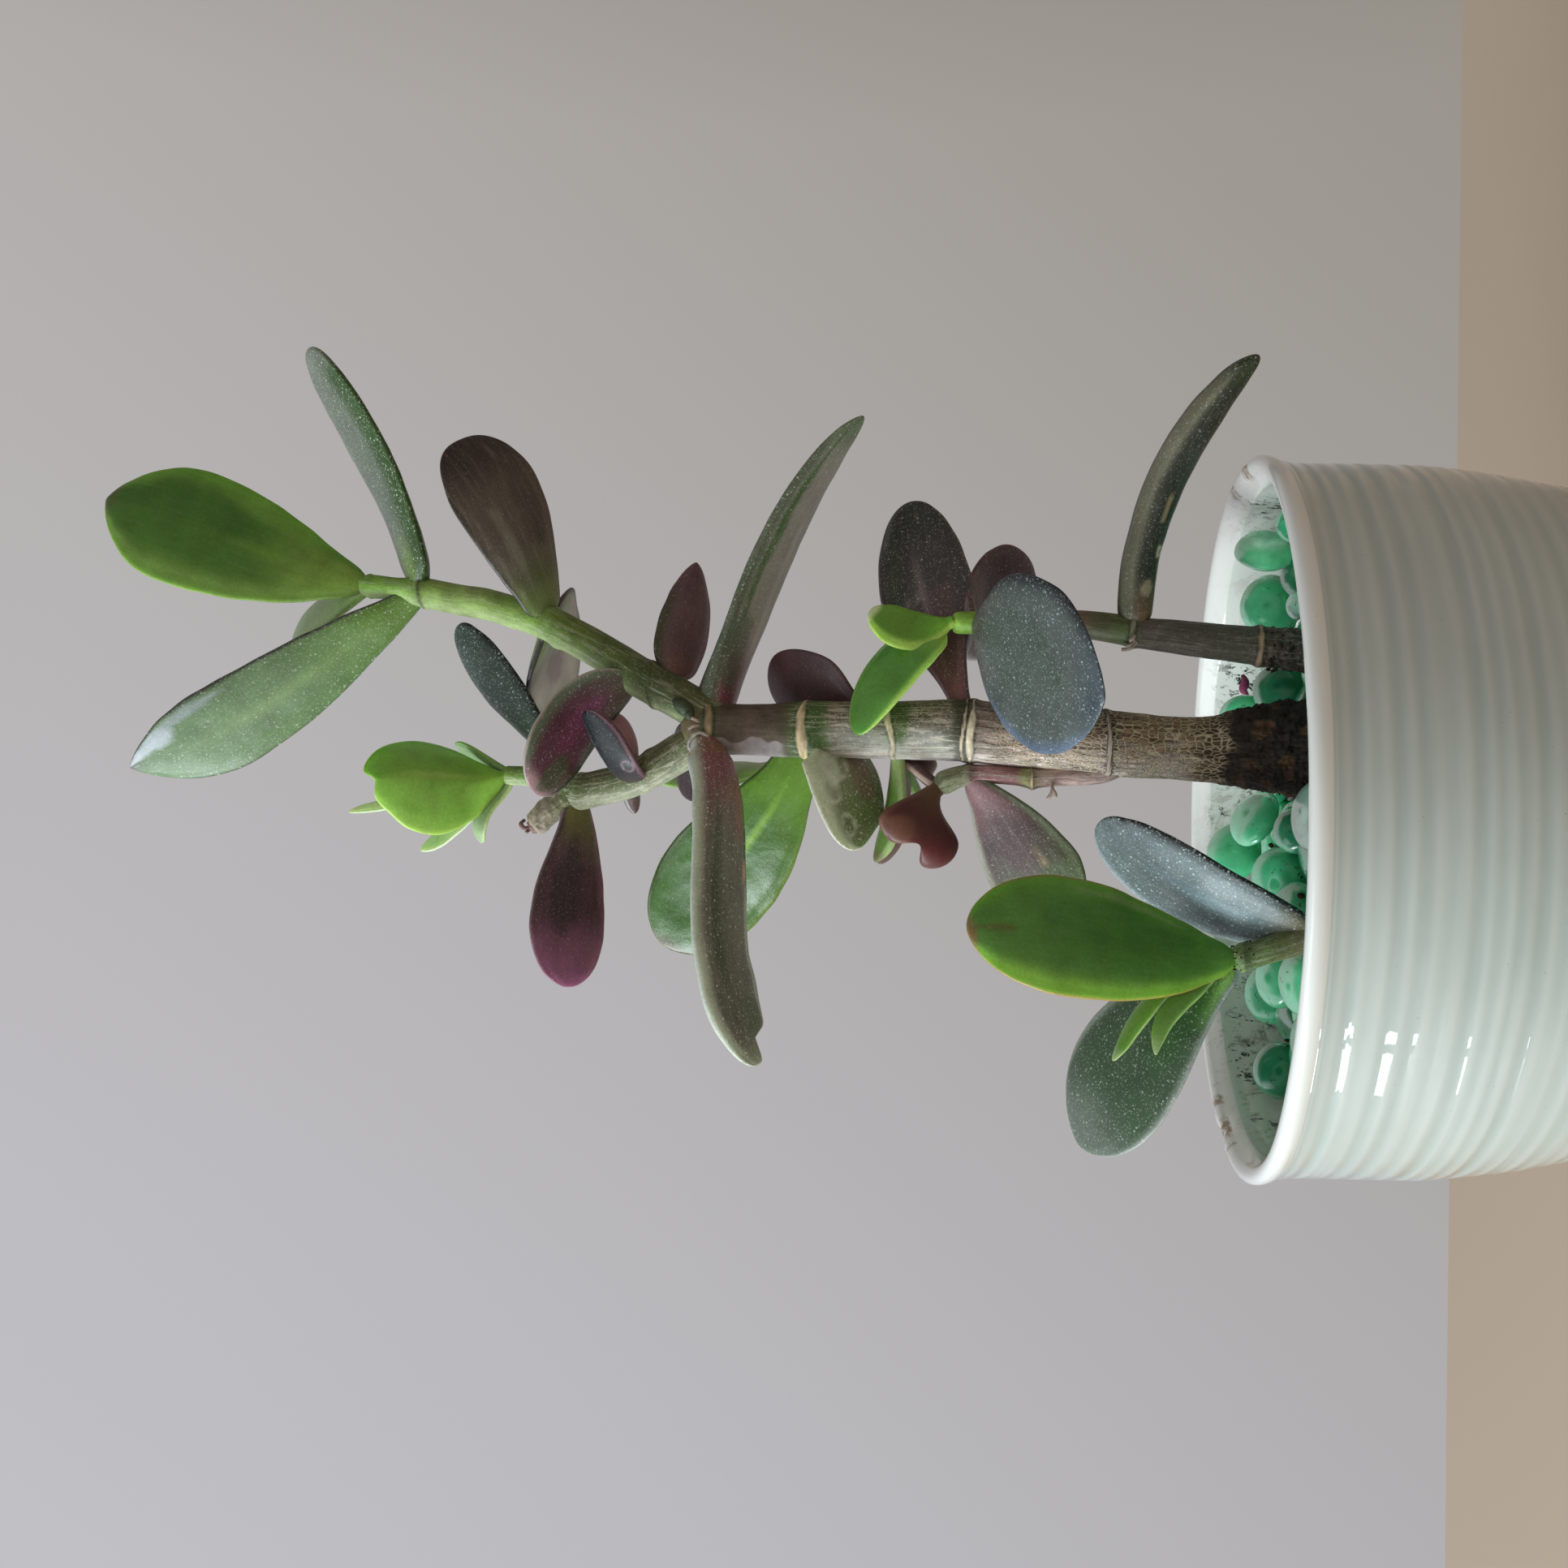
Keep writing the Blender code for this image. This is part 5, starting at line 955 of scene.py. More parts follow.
def stem_piece(name, path, paint, rings, step, sides, seed, material, nodes, rough=None):
    """A stem with raised node scars. paint gives tint, crack, dots and net from height and side; rings
    lists (height, rise, half width, line colour, half width of the line, tilt)."""
    centre, radius, out, run = stem_rings(path, step, sides)
    count = len(centre)
    height = centre[:, None, 2] + out[..., 2] * radius[:, None]
    base = centre[:, None] + out * radius[:, None, None]
    grow = ripple(base, 90.0, seed) * 0.035 + ripple(base, 260.0, seed + 5) * 0.018
    if rough is not None:
        low, high, depth = rough
        share = 1 - smooth(height + ripple(base, 150.0, seed + 8) * 0.003, low, high)
        crust = ripple(base, 520.0, seed + 11) + 0.9 * ripple(base, 1300.0, seed + 13)
        grow = grow + share * depth * (0.4 + crust)
    tint, crack, dots, net = paint(height, out, base)
    extra = np.zeros(base.shape[:2])
    for ring, rise, half, colour, line, tilt in rings:
        around = base * np.array([1.0, 1.0, 0.0])
        level = ring + tilt * out[..., 0] + ripple(around, 170.0, seed + ring * 90) * 0.0007
        offset = height - level
        extra = extra + np.exp(-(offset / half) ** 2) * rise
        if colour is not None:
            lens = 0.45 + 0.85 * smooth(-out[..., 1] - 0.25 * out[..., 0], 0.1, 1.0)
            wide = line * lens * (1 + 0.9 * ripple(around, 230.0, seed + ring * 50))
            share = (1 - smooth(np.abs(offset), 0.75 * wide, 1.15 * wide))[..., None]
            grain = 0.85 + 0.45 * ripple(base * np.array([1.0, 1.0, 2.5]), 600.0, seed + 3)[..., None]
            # Painted shade: a thin darker band along each side of the scar line, beside the raised ring
            under = np.exp(-((np.abs(offset) - 1.45 * wide) / 0.00022) ** 2)[..., None] * 0.55
            tint = tint * (1 - under)
            tint = tint + (linear(colour) * grain - tint) * share
            keep = 1 - share[..., 0]
            dots, crack, net = dots * keep, crack * keep, net * keep
    points = centre[:, None] + out * (radius[:, None] * (1 + grow) + extra)[..., None]
    local = np.stack([out[..., 0] * radius[:, None], np.broadcast_to(run[:, None], out.shape[:2]),
                      out[..., 1] * radius[:, None]], axis=-1)
    fields = {"tint": with_alpha(tint.reshape(-1, 3)), "skin": local.reshape(-1, 3) + 0.3 * (seed + 1),
              "crack": crack.ravel(), "dots": dots.ravel(), "net": net.ravel()}
    piece = mesh_object(name, points.reshape(-1, 3), ring_faces(count, sides), material, fields)
    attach(piece, "root")
    if nodes:
        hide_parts(*nodes)
    return piece


def by_height(height, stops):
    """Linear colour at each height from (height, 0 to 255 colour) stops."""
    levels = [row[0] for row in stops]
    colours = np.array([linear(row[1]) for row in stops])
    return np.stack([np.interp(height, levels, colours[:, i]) for i in range(3)], axis=-1)


def trunk_paint(height, out, base):
    wobble = ripple(base, 220.0, 61) * 0.0010
    wobble = wobble + (1 - smooth(height, 0.119, 0.130)) * ripple(base, 300.0, 63) * 0.0035
    h = height + wobble
    stops = (
        (0.096, (34, 28, 24)), (0.110, (44, 35, 30)), (0.1165, (54, 42, 35)), (0.1205, (88, 64, 46)),
        (0.1255, (146, 108, 78)), (0.139, (164, 128, 100)), (0.1412, (86, 70, 64)), (0.1420, (96, 80, 74)),
        (0.1430, (84, 70, 68)), (0.1455, (150, 120, 100)), (0.160, (164, 138, 120)),
        (0.1680, (144, 122, 108)), (0.1700, (112, 94, 84)),
        (0.1712, (60, 56, 42)), (0.1742, (72, 70, 52)), (0.1760, (108, 106, 92)), (0.1835, (104, 104, 86)),
        (0.1850, (76, 96, 50)), (0.1885, (78, 98, 52)), (0.1900, (104, 102, 86)), (0.2005, (102, 102, 82)),
        (0.2020, (80, 106, 56)), (0.2070, (70, 98, 46)), (0.2095, (70, 88, 42)), (0.2120, (88, 80, 62)),
        (0.2200, (98, 82, 72)), (0.2262, (82, 74, 58)), (0.2275, (60, 80, 42)), (0.2300, (78, 88, 50)),
        (0.2315, (120, 108, 78)),
    )
    tint = by_height(h, stops)
    ragged = 0.4 * ripple(base, 180.0, 66) + 0.45 * ripple(base * np.array([1.0, 1.0, 0.22]), 620.0, 67)
    # Painted light: on the side that faces the window the lower trunk is lightened to pale pink over the
    # bark's tan, and the upper trunk to silvery grey
    left = smooth(-out[..., 0] - 0.25 * out[..., 1] + ragged, 0.05, 0.65)
    lit_pink = left * smooth(h, 0.122, 0.128) * (1 - smooth(h, 0.166, 0.171))
    tint = tint + (linear((226, 206, 196)) - tint) * (0.75 * lit_pink)[..., None]
    lit_silver = left * smooth(h, 0.1755, 0.1775) * (1 - smooth(h, 0.2000, 0.2040))
    tint = tint + (linear((216, 216, 208)) - tint) * (0.35 * lit_silver)[..., None]
    # Painted highlight: a pale strip down the trunk's window edge
    lit_strip = smooth(-out[..., 0] + 0.5 * ragged, 0.62, 0.85) * smooth(h, 0.124,
            0.130) * (1 - smooth(h, 0.2010, 0.2040))
    lit_strip = lit_strip * (1 - 0.8 * smooth(h, 0.1700, 0.1710) * (1 - smooth(h, 0.1745, 0.1760)))
    tint = tint + (linear((234, 222, 216)) - tint) * (0.55 * lit_strip)[..., None]
    # Painted highlight: a pale lilac glare patch on the window side above the ring at 0.2076
    edge = ripple(base, 350.0, 71) * 0.35
    lit_glare = smooth(-out[..., 0] + edge, 0.45, 0.52) * smooth(h, 0.2110,
                                                             0.2130) * (1 - smooth(h, 0.2260, 0.2285))
    tint = tint + (linear((158, 150, 152)) - tint) * (0.8 * lit_glare)[..., None]
    brown = smooth(ripple(base, 300.0, 77), 0.15, 0.35) * (1 - smooth(h, 0.112, 0.118))
    tint = tint + (linear((104, 70, 44)) - tint) * (0.6 * brown)[..., None]
    grey = smooth(h, 0.1745, 0.1765) * (1 - smooth(h, 0.2000, 0.2035))
    grey = grey * (1 - 0.75 * smooth(h, 0.1835, 0.1850) * (1 - smooth(h, 0.1885, 0.1900)))
    crack = 0.85 * (1 - smooth(h, 0.166, 0.172)) + 0.15 * grey
    dots = 0.18 * smooth(h, 0.120, 0.125) * (1 - smooth(h, 0.2090, 0.2110)) + 0.55 * smooth(h, 0.158,
            0.166) * (1 - smooth(h, 0.1695, 0.171)) + grey
    dots = dots + 0.30 * smooth(h, 0.202, 0.204) * (1 - smooth(h, 0.2100, 0.2115)) + 0.06 * smooth(h,
            0.2100, 0.2115)
    net = smooth(h, 0.1165, 0.1200) * (1 - smooth(h, 0.160, 0.171)) + 0.45 * grey * smooth(out[..., 0],
            -0.2, 0.4)
    return tint, crack, np.clip(dots, 0, 1), np.clip(net, 0, 1)


def branch_paint(stops, dots_share, lit=(128, 136, 108), lit_share=0.35):
    def paint(height, out, base):
        tint = by_height(height + ripple(base, 200.0, 17) * 0.001, stops)
        left = smooth(-out[..., 0], 0.2, 0.9) * lit_share
        tint = tint + (linear(lit) - tint) * left[..., None]
        flat = np.full(height.shape, dots_share)
        return tint, flat * 0 + 0.08, flat, flat * 0
    return paint


def right_stem_paint(height, out, base):
    """The right stem: grey bark below, green and young above."""
    h = height + ripple(base, 220.0, 31) * 0.0012
    stops = (
        (0.098, (38, 32, 28)), (0.1075, (46, 38, 32)), (0.1105, (72, 58, 46)), (0.1125, (72, 68, 54)),
        (0.125, (82, 74, 66)), (0.1355, (92, 82, 72)), (0.1385, (80, 94, 50)), (0.144, (92, 92, 64)),
        (0.150, (112, 88, 78)), (0.164, (112, 104, 66)), (0.170, (116, 156, 56)), (0.175, (136, 182, 70)),
    )
    tint = by_height(h, stops)
    crack = 0.28 * (1 - smooth(h, 0.135, 0.140))
    dots = 0.10 + 0.05 * (1 - smooth(h, 0.135, 0.140))
    return tint, crack, dots, crack * 0.15


def left_stem_paint(height, out, base):
    """The left stem: brown at the soil, green at its leaves."""
    stops = ((0.096, (84, 70, 54)), (0.101, (124, 100, 76)), (0.105, (120, 112, 78)),
             (0.112, (104, 122, 66)), (0.1155, (96, 112, 70)), (0.118, (128, 160, 88)))
    tint = by_height(height + ripple(base, 220.0, 31) * 0.001, stops)
    flat = np.ones(height.shape)
    return tint, 0.15 * flat, 0.3 * flat, 0 * flat


def shoot_paint(height, out, base):
    """The side shoot: pinkish, with a green stretch above each scar."""
    stops = ((0.136, (132, 108, 96)), (0.142, (168, 142, 134)), (0.152, (176, 146, 140)),
             (0.1575, (128, 108, 90)), (0.159, (138, 140, 84)), (0.161, (150, 106, 104)),
             (0.168, (158, 112, 112)), (0.1712, (104, 78, 70)), (0.1725, (128, 128, 100)),
             (0.179, (126, 136, 98)))
    tint = by_height(height + ripple(base, 260.0, 41) * 0.001, stops)
    flat = np.ones(height.shape)
    return tint, 0.3 * flat, 0.35 * flat, 0 * flat


# Pot, soil and beads

def wall_radius(height):
    heights = [row[0] for row in WALL_CURVE][::-1]
    radii = [row[1] for row in WALL_CURVE][::-1]
    return np.interp(height, heights, radii)


def ring_depth(height):
    """How far the throwing rings draw the wall in at a height: nothing on a crest, all of it in a groove."""
    levels, depths = [], []
    for i, groove in enumerate(GROOVES):
        fade = 1.0 if i < 11 else 0.75
        levels.append(groove)
        depths.append(GROOVE_DEPTH * fade * (0.65 + 0.35 * math.sin(i * 2.3)))
        if i + 1 < len(GROOVES):
            levels.append((groove + GROOVES[i + 1]) / 2)
            depths.append(0.0)
    levels, depths = np.array(levels[::-1]), np.array(depths[::-1])
    place = np.clip(np.searchsorted(levels, height, side="right") - 1, 0, len(levels) - 2)
    share = np.clip((height - levels[place]) / (levels[place + 1] - levels[place]), 0, 1)
    share = share * share * (3 - 2 * share)
    inside = (height < levels[-1]) & (height > levels[0])
    return np.where(inside, depths[place] + (depths[place + 1] - depths[place]) * share, 0.0)


def pot_rows():
    """Profile rows of (radius, height, thin, inside, soiled, crest), from the foot up the outside, over
    the lip and down the inside."""
    rows = [(0.0, 0.0008), (0.030, 0.0008), (FOOT_RADIUS - 0.006, 0.0008), (FOOT_RADIUS - 0.0045, 0.0),
            (FOOT_RADIUS - 0.001, 0.0), (FOOT_RADIUS, 0.0004), (FOOT_RADIUS + 0.0006, 0.0016)]
    outer = [(r, h, 0.0, 0.0, 0.0, 0.0) for r, h in rows]
    for height in np.linspace(0.003, 0.1112, 250):
        depth = float(ring_depth(np.array(height)))
        thin = 0.55 * (1 - depth / GROOVE_DEPTH) ** 2 if height > 0.02 else 0.0
        flare = 0.0005 * float(smooth(height, 0.1075, 0.1112))
        crest = 1 - depth / GROOVE_DEPTH if height > 0.02 else 0.0
        outer.append((float(wall_radius(height)) - depth + flare, float(height), thin * 0.45, 0.0, 0.0,
                      crest))
    top, lip = POT_HEIGHT, POT_HEIGHT - LIP_HEIGHT
    edge = [(RIM_RADIUS - 0.0007, lip - 0.0001), (RIM_RADIUS - 0.0004, lip + 0.0004),
            (RIM_RADIUS - 0.0001, lip + 0.0011),
            (RIM_RADIUS, lip + 0.0018), (RIM_RADIUS - 0.0001, top - 0.0009),
            (RIM_RADIUS - 0.0006, top - 0.0003),
            (RIM_RADIUS - 0.0013, top), (RIM_RADIUS - 0.0021, top), (RIM_RADIUS - 0.0029, top - 0.0004),
            (RIM_RADIUS - 0.0036, top - 0.0012), (RIM_RADIUS - 0.0040, top - 0.0024)]
    for i, (radius, height) in enumerate(edge):
        outer.append((radius, height, 1.0, min(1.0, max(0.0, (i - 6) / 4)), 0.3 if i > 7 else 0.0, 0.0))
    for height in np.linspace(0.111, 0.083, 60):
        radius = float(wall_radius(min(height, 0.1075))) - WALL
        outer.append((radius, float(height), 0.0, 1.0, float(0.5 + 0.5 * smooth(-height, -0.112, -0.106)),
                      0.0))
    for height in (0.064, 0.044, 0.024):
        outer.append((float(wall_radius(height)) - WALL, height, 0.0, 1.0, 0.5, 0.0))
    outer += [(r, h, 0.0, 1.0, 0.5, 0.0) for r, h in ((0.044, FLOOR + 0.004), (0.034, FLOOR), (0.0, FLOOR))]
    return outer


def build_pot(material):
    rows = pot_rows()
    turn = np.arange(POT_SPANS) * 2 * math.pi / POT_SPANS
    radius = np.array([row[0] for row in rows])
    height = np.array([row[1] for row in rows])
    ring = np.stack([np.cos(turn), np.sin(turn), np.zeros_like(turn)], axis=-1)
    points = ring[None] * radius[:, None, None]
    points[..., 2] = height[:, None]
    drift = ripple(points * np.array([1, 1, 2.5]), 32.0, 5.0) * 0.00022
    share = smooth(height, 0.006, 0.02)[:, None] * (radius > 0.03)[:, None]
    points[..., :2] += ring[None, :, :2] * (drift * share)[..., None]
    rise = ripple(ring[None] * 1.0, 1.6, 2.0)[0] * 0.0003
    points[..., 2] += rise[None] * smooth(height, 0.10, 0.115)[:, None]
    chip = np.zeros(points.shape[:2])
    for heading, reach, depth in RIM_CHIPS:
        gap = np.abs((np.degrees(turn) - heading + 180) % 360 - 180)[None]
        rough = 1 + 0.8 * ripple(points, 500.0, heading)
        bite = (1 - smooth(gap, 0.5 * reach, reach)) * smooth(points[..., 2], 0.1128,
                                                              0.1140) * (rough > 0.7)
        chip = np.maximum(chip, bite)
        points[..., 2] -= bite * depth * np.clip(rough, 0, 2)
    keep = points[1:-1]
    count = len(keep)
    flat = np.concatenate([keep.reshape(-1, 3), points[:1, 0], points[-1:, 0]])
    faces = ring_faces(count, POT_SPANS, False, False)
    under, floor = count * POT_SPANS, count * POT_SPANS + 1
    for j in range(POT_SPANS):
        k = (j + 1) % POT_SPANS
        faces.append((under, k, j))
        faces.append(((count - 1) * POT_SPANS + j, (count - 1) * POT_SPANS + k, floor))
    fields = {}
    heading = np.degrees(turn)
    focus = np.zeros(POT_SPANS)
    for middle, reach, share in DIRT_SPOTS:
        gap = np.abs((heading - middle + 180) % 360 - 180)
        focus = np.maximum(focus, share * np.exp(-(gap / reach) ** 2))
    for column, key in ((2, "thin"), (3, "inside"), (4, "soiled"), (5, "crest")):
        values = np.array([row[column] for row in rows])
        spread = np.repeat(values[1:-1], POT_SPANS)
        if key == "soiled":
            spread = spread * np.tile(0.35 + focus, len(values) - 2)
        fields[key] = np.concatenate([spread, values[:1], values[-1:]])
    fields["chip"] = np.concatenate([chip[1:-1].ravel(), chip[:1, 0], chip[-1:, 0]])
    piece = mesh_object("pot_body", flat, faces, material, fields)
    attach(piece, "root")
    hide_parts("pot")


def build_soil(material):
    """Crumbly potting soil with a rough top, mostly under the beads."""
    spans, reach = SOIL_SPANS, wall_radius(0.088) - WALL - 0.0004
    points, faces = [(0.0, 0.0, SOIL_TOP)], []
    for i in range(1, spans + 1):
        for j in range(SOIL_SIDES):
            a = 2 * math.pi * j / SOIL_SIDES
            r = reach * i / spans
            p = Vector((r * math.cos(a), r * math.sin(a), 0))
            lift = (noise.noise(p * 260) * 0.0009 + noise.noise(p * 700) * 0.0006
                    + noise.noise(p * 1700) * 0.0003)
            heap = 0.0030 * math.exp(-((p - Vector((0.015, 0, 0))).length / 0.014) ** 2)
            dip = -0.0014 * (i / spans) ** 6
            points.append((p.x, p.y, SOIL_TOP + lift + heap + dip))
    for j in range(SOIL_SIDES):
        faces.append((0, 1 + j, 1 + (j + 1) % SOIL_SIDES))
    for i in range(spans - 1):
        for j in range(SOIL_SIDES):
            a, b = 1 + i * SOIL_SIDES + j, 1 + i * SOIL_SIDES + (j + 1) % SOIL_SIDES
            faces.append((a, a + SOIL_SIDES, b + SOIL_SIDES, b))
    last = 1 + (spans - 1) * SOIL_SIDES
    foot = len(points)
    for level in (0.064, 0.030, FLOOR + 0.005):
        for j in range(SOIL_SIDES):
            a = 2 * math.pi * j / SOIL_SIDES
            r = wall_radius(level) - WALL - 0.0005
            points.append((r * math.cos(a), r * math.sin(a), level))
    for i in range(3):
        low = last if i == 0 else foot + (i - 1) * SOIL_SIDES
        high = foot + i * SOIL_SIDES
        for j in range(SOIL_SIDES):
            k = (j + 1) % SOIL_SIDES
            faces.append((low + j, high + j, high + k, low + k))
    faces.append(tuple(foot + 2 * SOIL_SIDES + j for j in range(SOIL_SIDES))[::-1])
    piece = mesh_object("soil_body", np.array(points), faces, material)
    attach(piece, "root")
    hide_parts("soil")


def bead_shape(rows=20, columns=36):
    """A flat glass bead: a domed top over a flatter foot."""
    points = []
    for i in range(rows + 1):
        polar = math.pi * i / rows
        for j in range(columns):
            turn = 2 * math.pi * j / columns
            flat = math.sin(polar) ** 0.8
            tall = math.cos(polar)
            tall = tall if tall > 0 else -abs(tall) ** 1.6 * 0.75
            points.append((flat * math.cos(turn), flat * math.sin(turn), tall))
    return np.array(points), ring_faces(rows + 1, columns)


# Beads that show: place, radius, half thickness, where the flat side faces and whether the glass is pale
BEADS_SEEN = (
    ((-0.0575, 0.022, 0.1015), 0.0064, 0.0040, (0.2, -0.9, 0.3), 0),
    ((-0.0420, 0.038, 0.1000), 0.0078, 0.0044, (0.3, -0.8, 0.5), 1),
    ((-0.0365, 0.021, 0.1020), 0.0066, 0.0042, (0.1, -0.6, 0.8), 2),
    ((-0.0345, -0.003, 0.1022), 0.0068, 0.0040, (-0.1, -0.35, 0.9), 2),
    ((-0.0470, 0.004, 0.0990), 0.0066, 0.0040, (0.1, -0.2, 1.0), 1),
    ((-0.0200, 0.010, 0.1015), 0.0066, 0.0042, (0.3, -0.5, 0.8), 1),
    ((-0.0090, 0.045, 0.1085), 0.0074, 0.0046, (0.35, -0.75, 0.55), 2),
    ((-0.0005, 0.030, 0.1062), 0.0072, 0.0036, (0.45, -0.5, 0.75), 2),
    ((-0.0140, 0.020, 0.1020), 0.0074, 0.0050, (-0.2, -0.8, 0.6), 1),
    ((0.0012, -0.010, 0.1015), 0.0072, 0.0038, (0.1, -0.25, 1.0), 3),
    ((-0.0030, 0.014, 0.1005), 0.0050, 0.0036, (0.0, -0.8, 0.5), 0),
    ((0.0230, 0.029, 0.1085), 0.0066, 0.0042, (-0.7, -0.7, 0.1), 2),
    ((0.0285, 0.018, 0.1030), 0.0068, 0.0046, (0.1, -0.8, 0.5), 0),
    ((0.0475, 0.020, 0.1052), 0.0070, 0.0048, (-0.1, -0.9, 0.3), 2),
    ((0.0575, 0.008, 0.1085), 0.0068, 0.0044, (0.75, -0.65, 0.05), 4),
    ((0.0455, 0.003, 0.1020), 0.0032, 0.0026, (0.2, -0.7, 0.6), 3),
    ((0.0615, -0.004, 0.1050), 0.0038, 0.0030, (-0.3, -0.8, 0.5), 1),
    ((0.0525, 0.006, 0.1010), 0.0050, 0.0040, (0.0, -0.7, 0.6), 0),
    ((0.0400, 0.034, 0.1010), 0.0068, 0.0042, (0.2, -0.5, 0.8), 1),
    ((0.0170, 0.048, 0.1030), 0.0070, 0.0042, (0.1, -0.4, 0.9), 1),
    ((-0.0250, 0.052, 0.1010), 0.0070, 0.0042, (0.1, -0.4, 0.9), 1),
)


def bead_places():
    """Spread about the pot's axis, with more strewn on top: place, radius, half thickness, facing, tone."""
    chance = random.Random(BEAD_SEED)
    places = []
    for ring in range(BEAD_RINGS):
        radius = ring * BEAD_RING_STEP
        count = max(1, round(2 * math.pi * radius / BEAD_PITCH))
        start = chance.uniform(0, math.pi)
        for i in range(count):
            turn = start + 2 * math.pi * i / count
            x = radius * math.cos(turn) + chance.uniform(-BEAD_JITTER, BEAD_JITTER)
            y = radius * math.sin(turn) + chance.uniform(-BEAD_JITTER, BEAD_JITTER)
            z = BEAD_LEVEL - 0.0006 + chance.uniform(0, 0.0018)
            facing = (chance.uniform(-0.5, 0.5), chance.uniform(-0.5, 0.5), 1.0)
            places.append(((x, y, z), 0.0070 * chance.uniform(0.9, 1.15), 0.0042, facing,
                           chance.randrange(3)))
    for i in range(STREWN_BEADS):
        turn, radius = i * STREWN_TURN, STREWN_REACH * math.sqrt((i + 0.5) / STREWN_BEADS)
        x, y = radius * math.cos(turn), radius * math.sin(turn)
        facing = (chance.uniform(-0.6, 0.6), chance.uniform(-0.6, 0.6), 1.0)
        if y < 0:
            places.append(((x, y, BEAD_LEVEL + chance.uniform(0.0008, 0.0022)),
                           0.0066 * chance.uniform(0.9, 1.15),
                           0.0040, facing, chance.randrange(3)))
    return places


def build_beads(material):
    shape, shape_faces = bead_shape()
    points, faces, tints = [], [], []
    tones = ((56, 156, 112), (82, 200, 146), (106, 222, 166), (190, 234, 214), (124, 232, 176))
    stems = ((0.015, 0.0, 0.0098), (0.0355, 0.0, 0.0045), (-0.0222, -0.015, 0.0030))
    for place, radius, half, facing, tone in bead_places() + list(BEADS_SEEN):
        x, y, z = place
        for sx, sy, reach in stems:
            away = Vector((x - sx, y - sy))
            if away.length < reach + 0.004:
                shift = away.normalized() * (reach + 0.004) if away.length > 1e-6 else Vector((0, reach))
                x, y = sx + shift.x, sy + shift.y
        outer = math.hypot(x, y)
        most = wall_radius(0.098) - WALL - 0.0055
        if outer > most:
            x, y = x * most / outer, y * most / outer
        size = Matrix.Diagonal((radius, radius * 0.94, half * 0.84, 1.0))
        aim = Vector(facing).to_track_quat("Z", "Y").to_matrix().to_4x4()
        matrix = np.array(Matrix.Translation((x, y, z)) @ aim @ size)
        moved = shape @ matrix[:3, :3].T + matrix[:3, 3]
        moved = moved + (ripple(moved, 90.0, 3.0) * 0.0006)[:, None] * unit(shape)
        offset = len(points) * len(shape)
        faces += [tuple(offset + v for v in face) for face in shape_faces]
        points.append(moved)
        tints.append(np.tile(linear(tones[tone]), (len(shape), 1)))
    fields = {"tint": with_alpha(np.concatenate(tints))}
    piece = mesh_object("glass_bead_layer", np.concatenate(points), faces, material, fields)
    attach(piece, "root")
    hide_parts("glass_beads")


def crumb_cluster(name, places, material, seed):
    """Small irregular crumbs of soil as one piece."""
    chance = random.Random(seed)
    rows, columns = 4, 6
    points, faces = [], []
    for x, y, z, size in places:
        start = len(points)
        stretch = [chance.uniform(0.6, 1.2) for _ in range(3)]
        for i in range(rows + 1):
            polar = math.pi * i / rows
            for j in range(columns):
                turn = 2 * math.pi * j / columns + i * 0.5
                r = size * chance.uniform(0.7, 1.15)
                points.append((x + r * stretch[0] * math.sin(polar) * math.cos(turn),
                               y + r * stretch[1] * math.sin(polar) * math.sin(turn),
                               z + r * stretch[2] * math.cos(polar)))
        faces += ring_faces(rows + 1, columns, offset=start)
    piece = mesh_object(name, np.array(points), faces, material)
    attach(piece, "root")
    return piece


def build_crumbs(material):
    """Soil caked round the foot of the stems and strewn over the beads."""
    chance = random.Random(31)
    places = []
    for _ in range(420):
        turn, level = chance.uniform(0, 2 * math.pi), chance.random() ** 1.5
        height = 0.0985 + 0.018 * level
        radius = float(np.interp(height, (0.0985, 0.1025, 0.111, 0.119), (0.0100, 0.0096, 0.0086, 0.0072)))
        places.append((0.0150 + radius * math.cos(turn), radius * math.sin(turn), height,
                       chance.uniform(0.0003, 0.0009) * (1.1 - 0.6 * level)))
    for _ in range(90):
        turn, level = chance.uniform(0, 2 * math.pi), chance.random() ** 1.3
        height = 0.0990 + 0.011 * level
        places.append((0.0356 + 0.0043 * math.cos(turn), 0.0043 * math.sin(turn), height,
                       chance.uniform(0.0002, 0.0006)))
    for _ in range(260):
        turn, radius = chance.uniform(0, 2 * math.pi), 0.066 * math.sqrt(chance.random())
        places.append((radius * math.cos(turn), radius * math.sin(turn), chance.uniform(0.0985, 0.1010),
                       chance.uniform(0.0003, 0.0008)))
    crumb_cluster("soil_crumbs", places, material, 32)


# Fine pieces

def tubes(name, paths, material, step=0.0003, sides=8):
    """Thin tapering tubes, each along rows of (place, radius), as one piece."""
    points, faces = [], []
    for path in paths:
        centre, radius, out, _ = stem_rings(path, step, sides)
        start = sum(len(p) for p in points)
        points.append((centre[:, None] + out * radius[:, None, None]).reshape(-1, 3))
        faces += ring_faces(len(centre), sides, offset=start)
    piece = mesh_object(name, np.concatenate(points), faces, material)
    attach(piece, "root")
    return piece


def even(radius, *places):
    """A path of one radius that tapers at its two ends."""
    last = len(places) - 1
    return [(place, radius * (0.4 if i in (0, last) else 1.0)) for i, place in enumerate(places)]


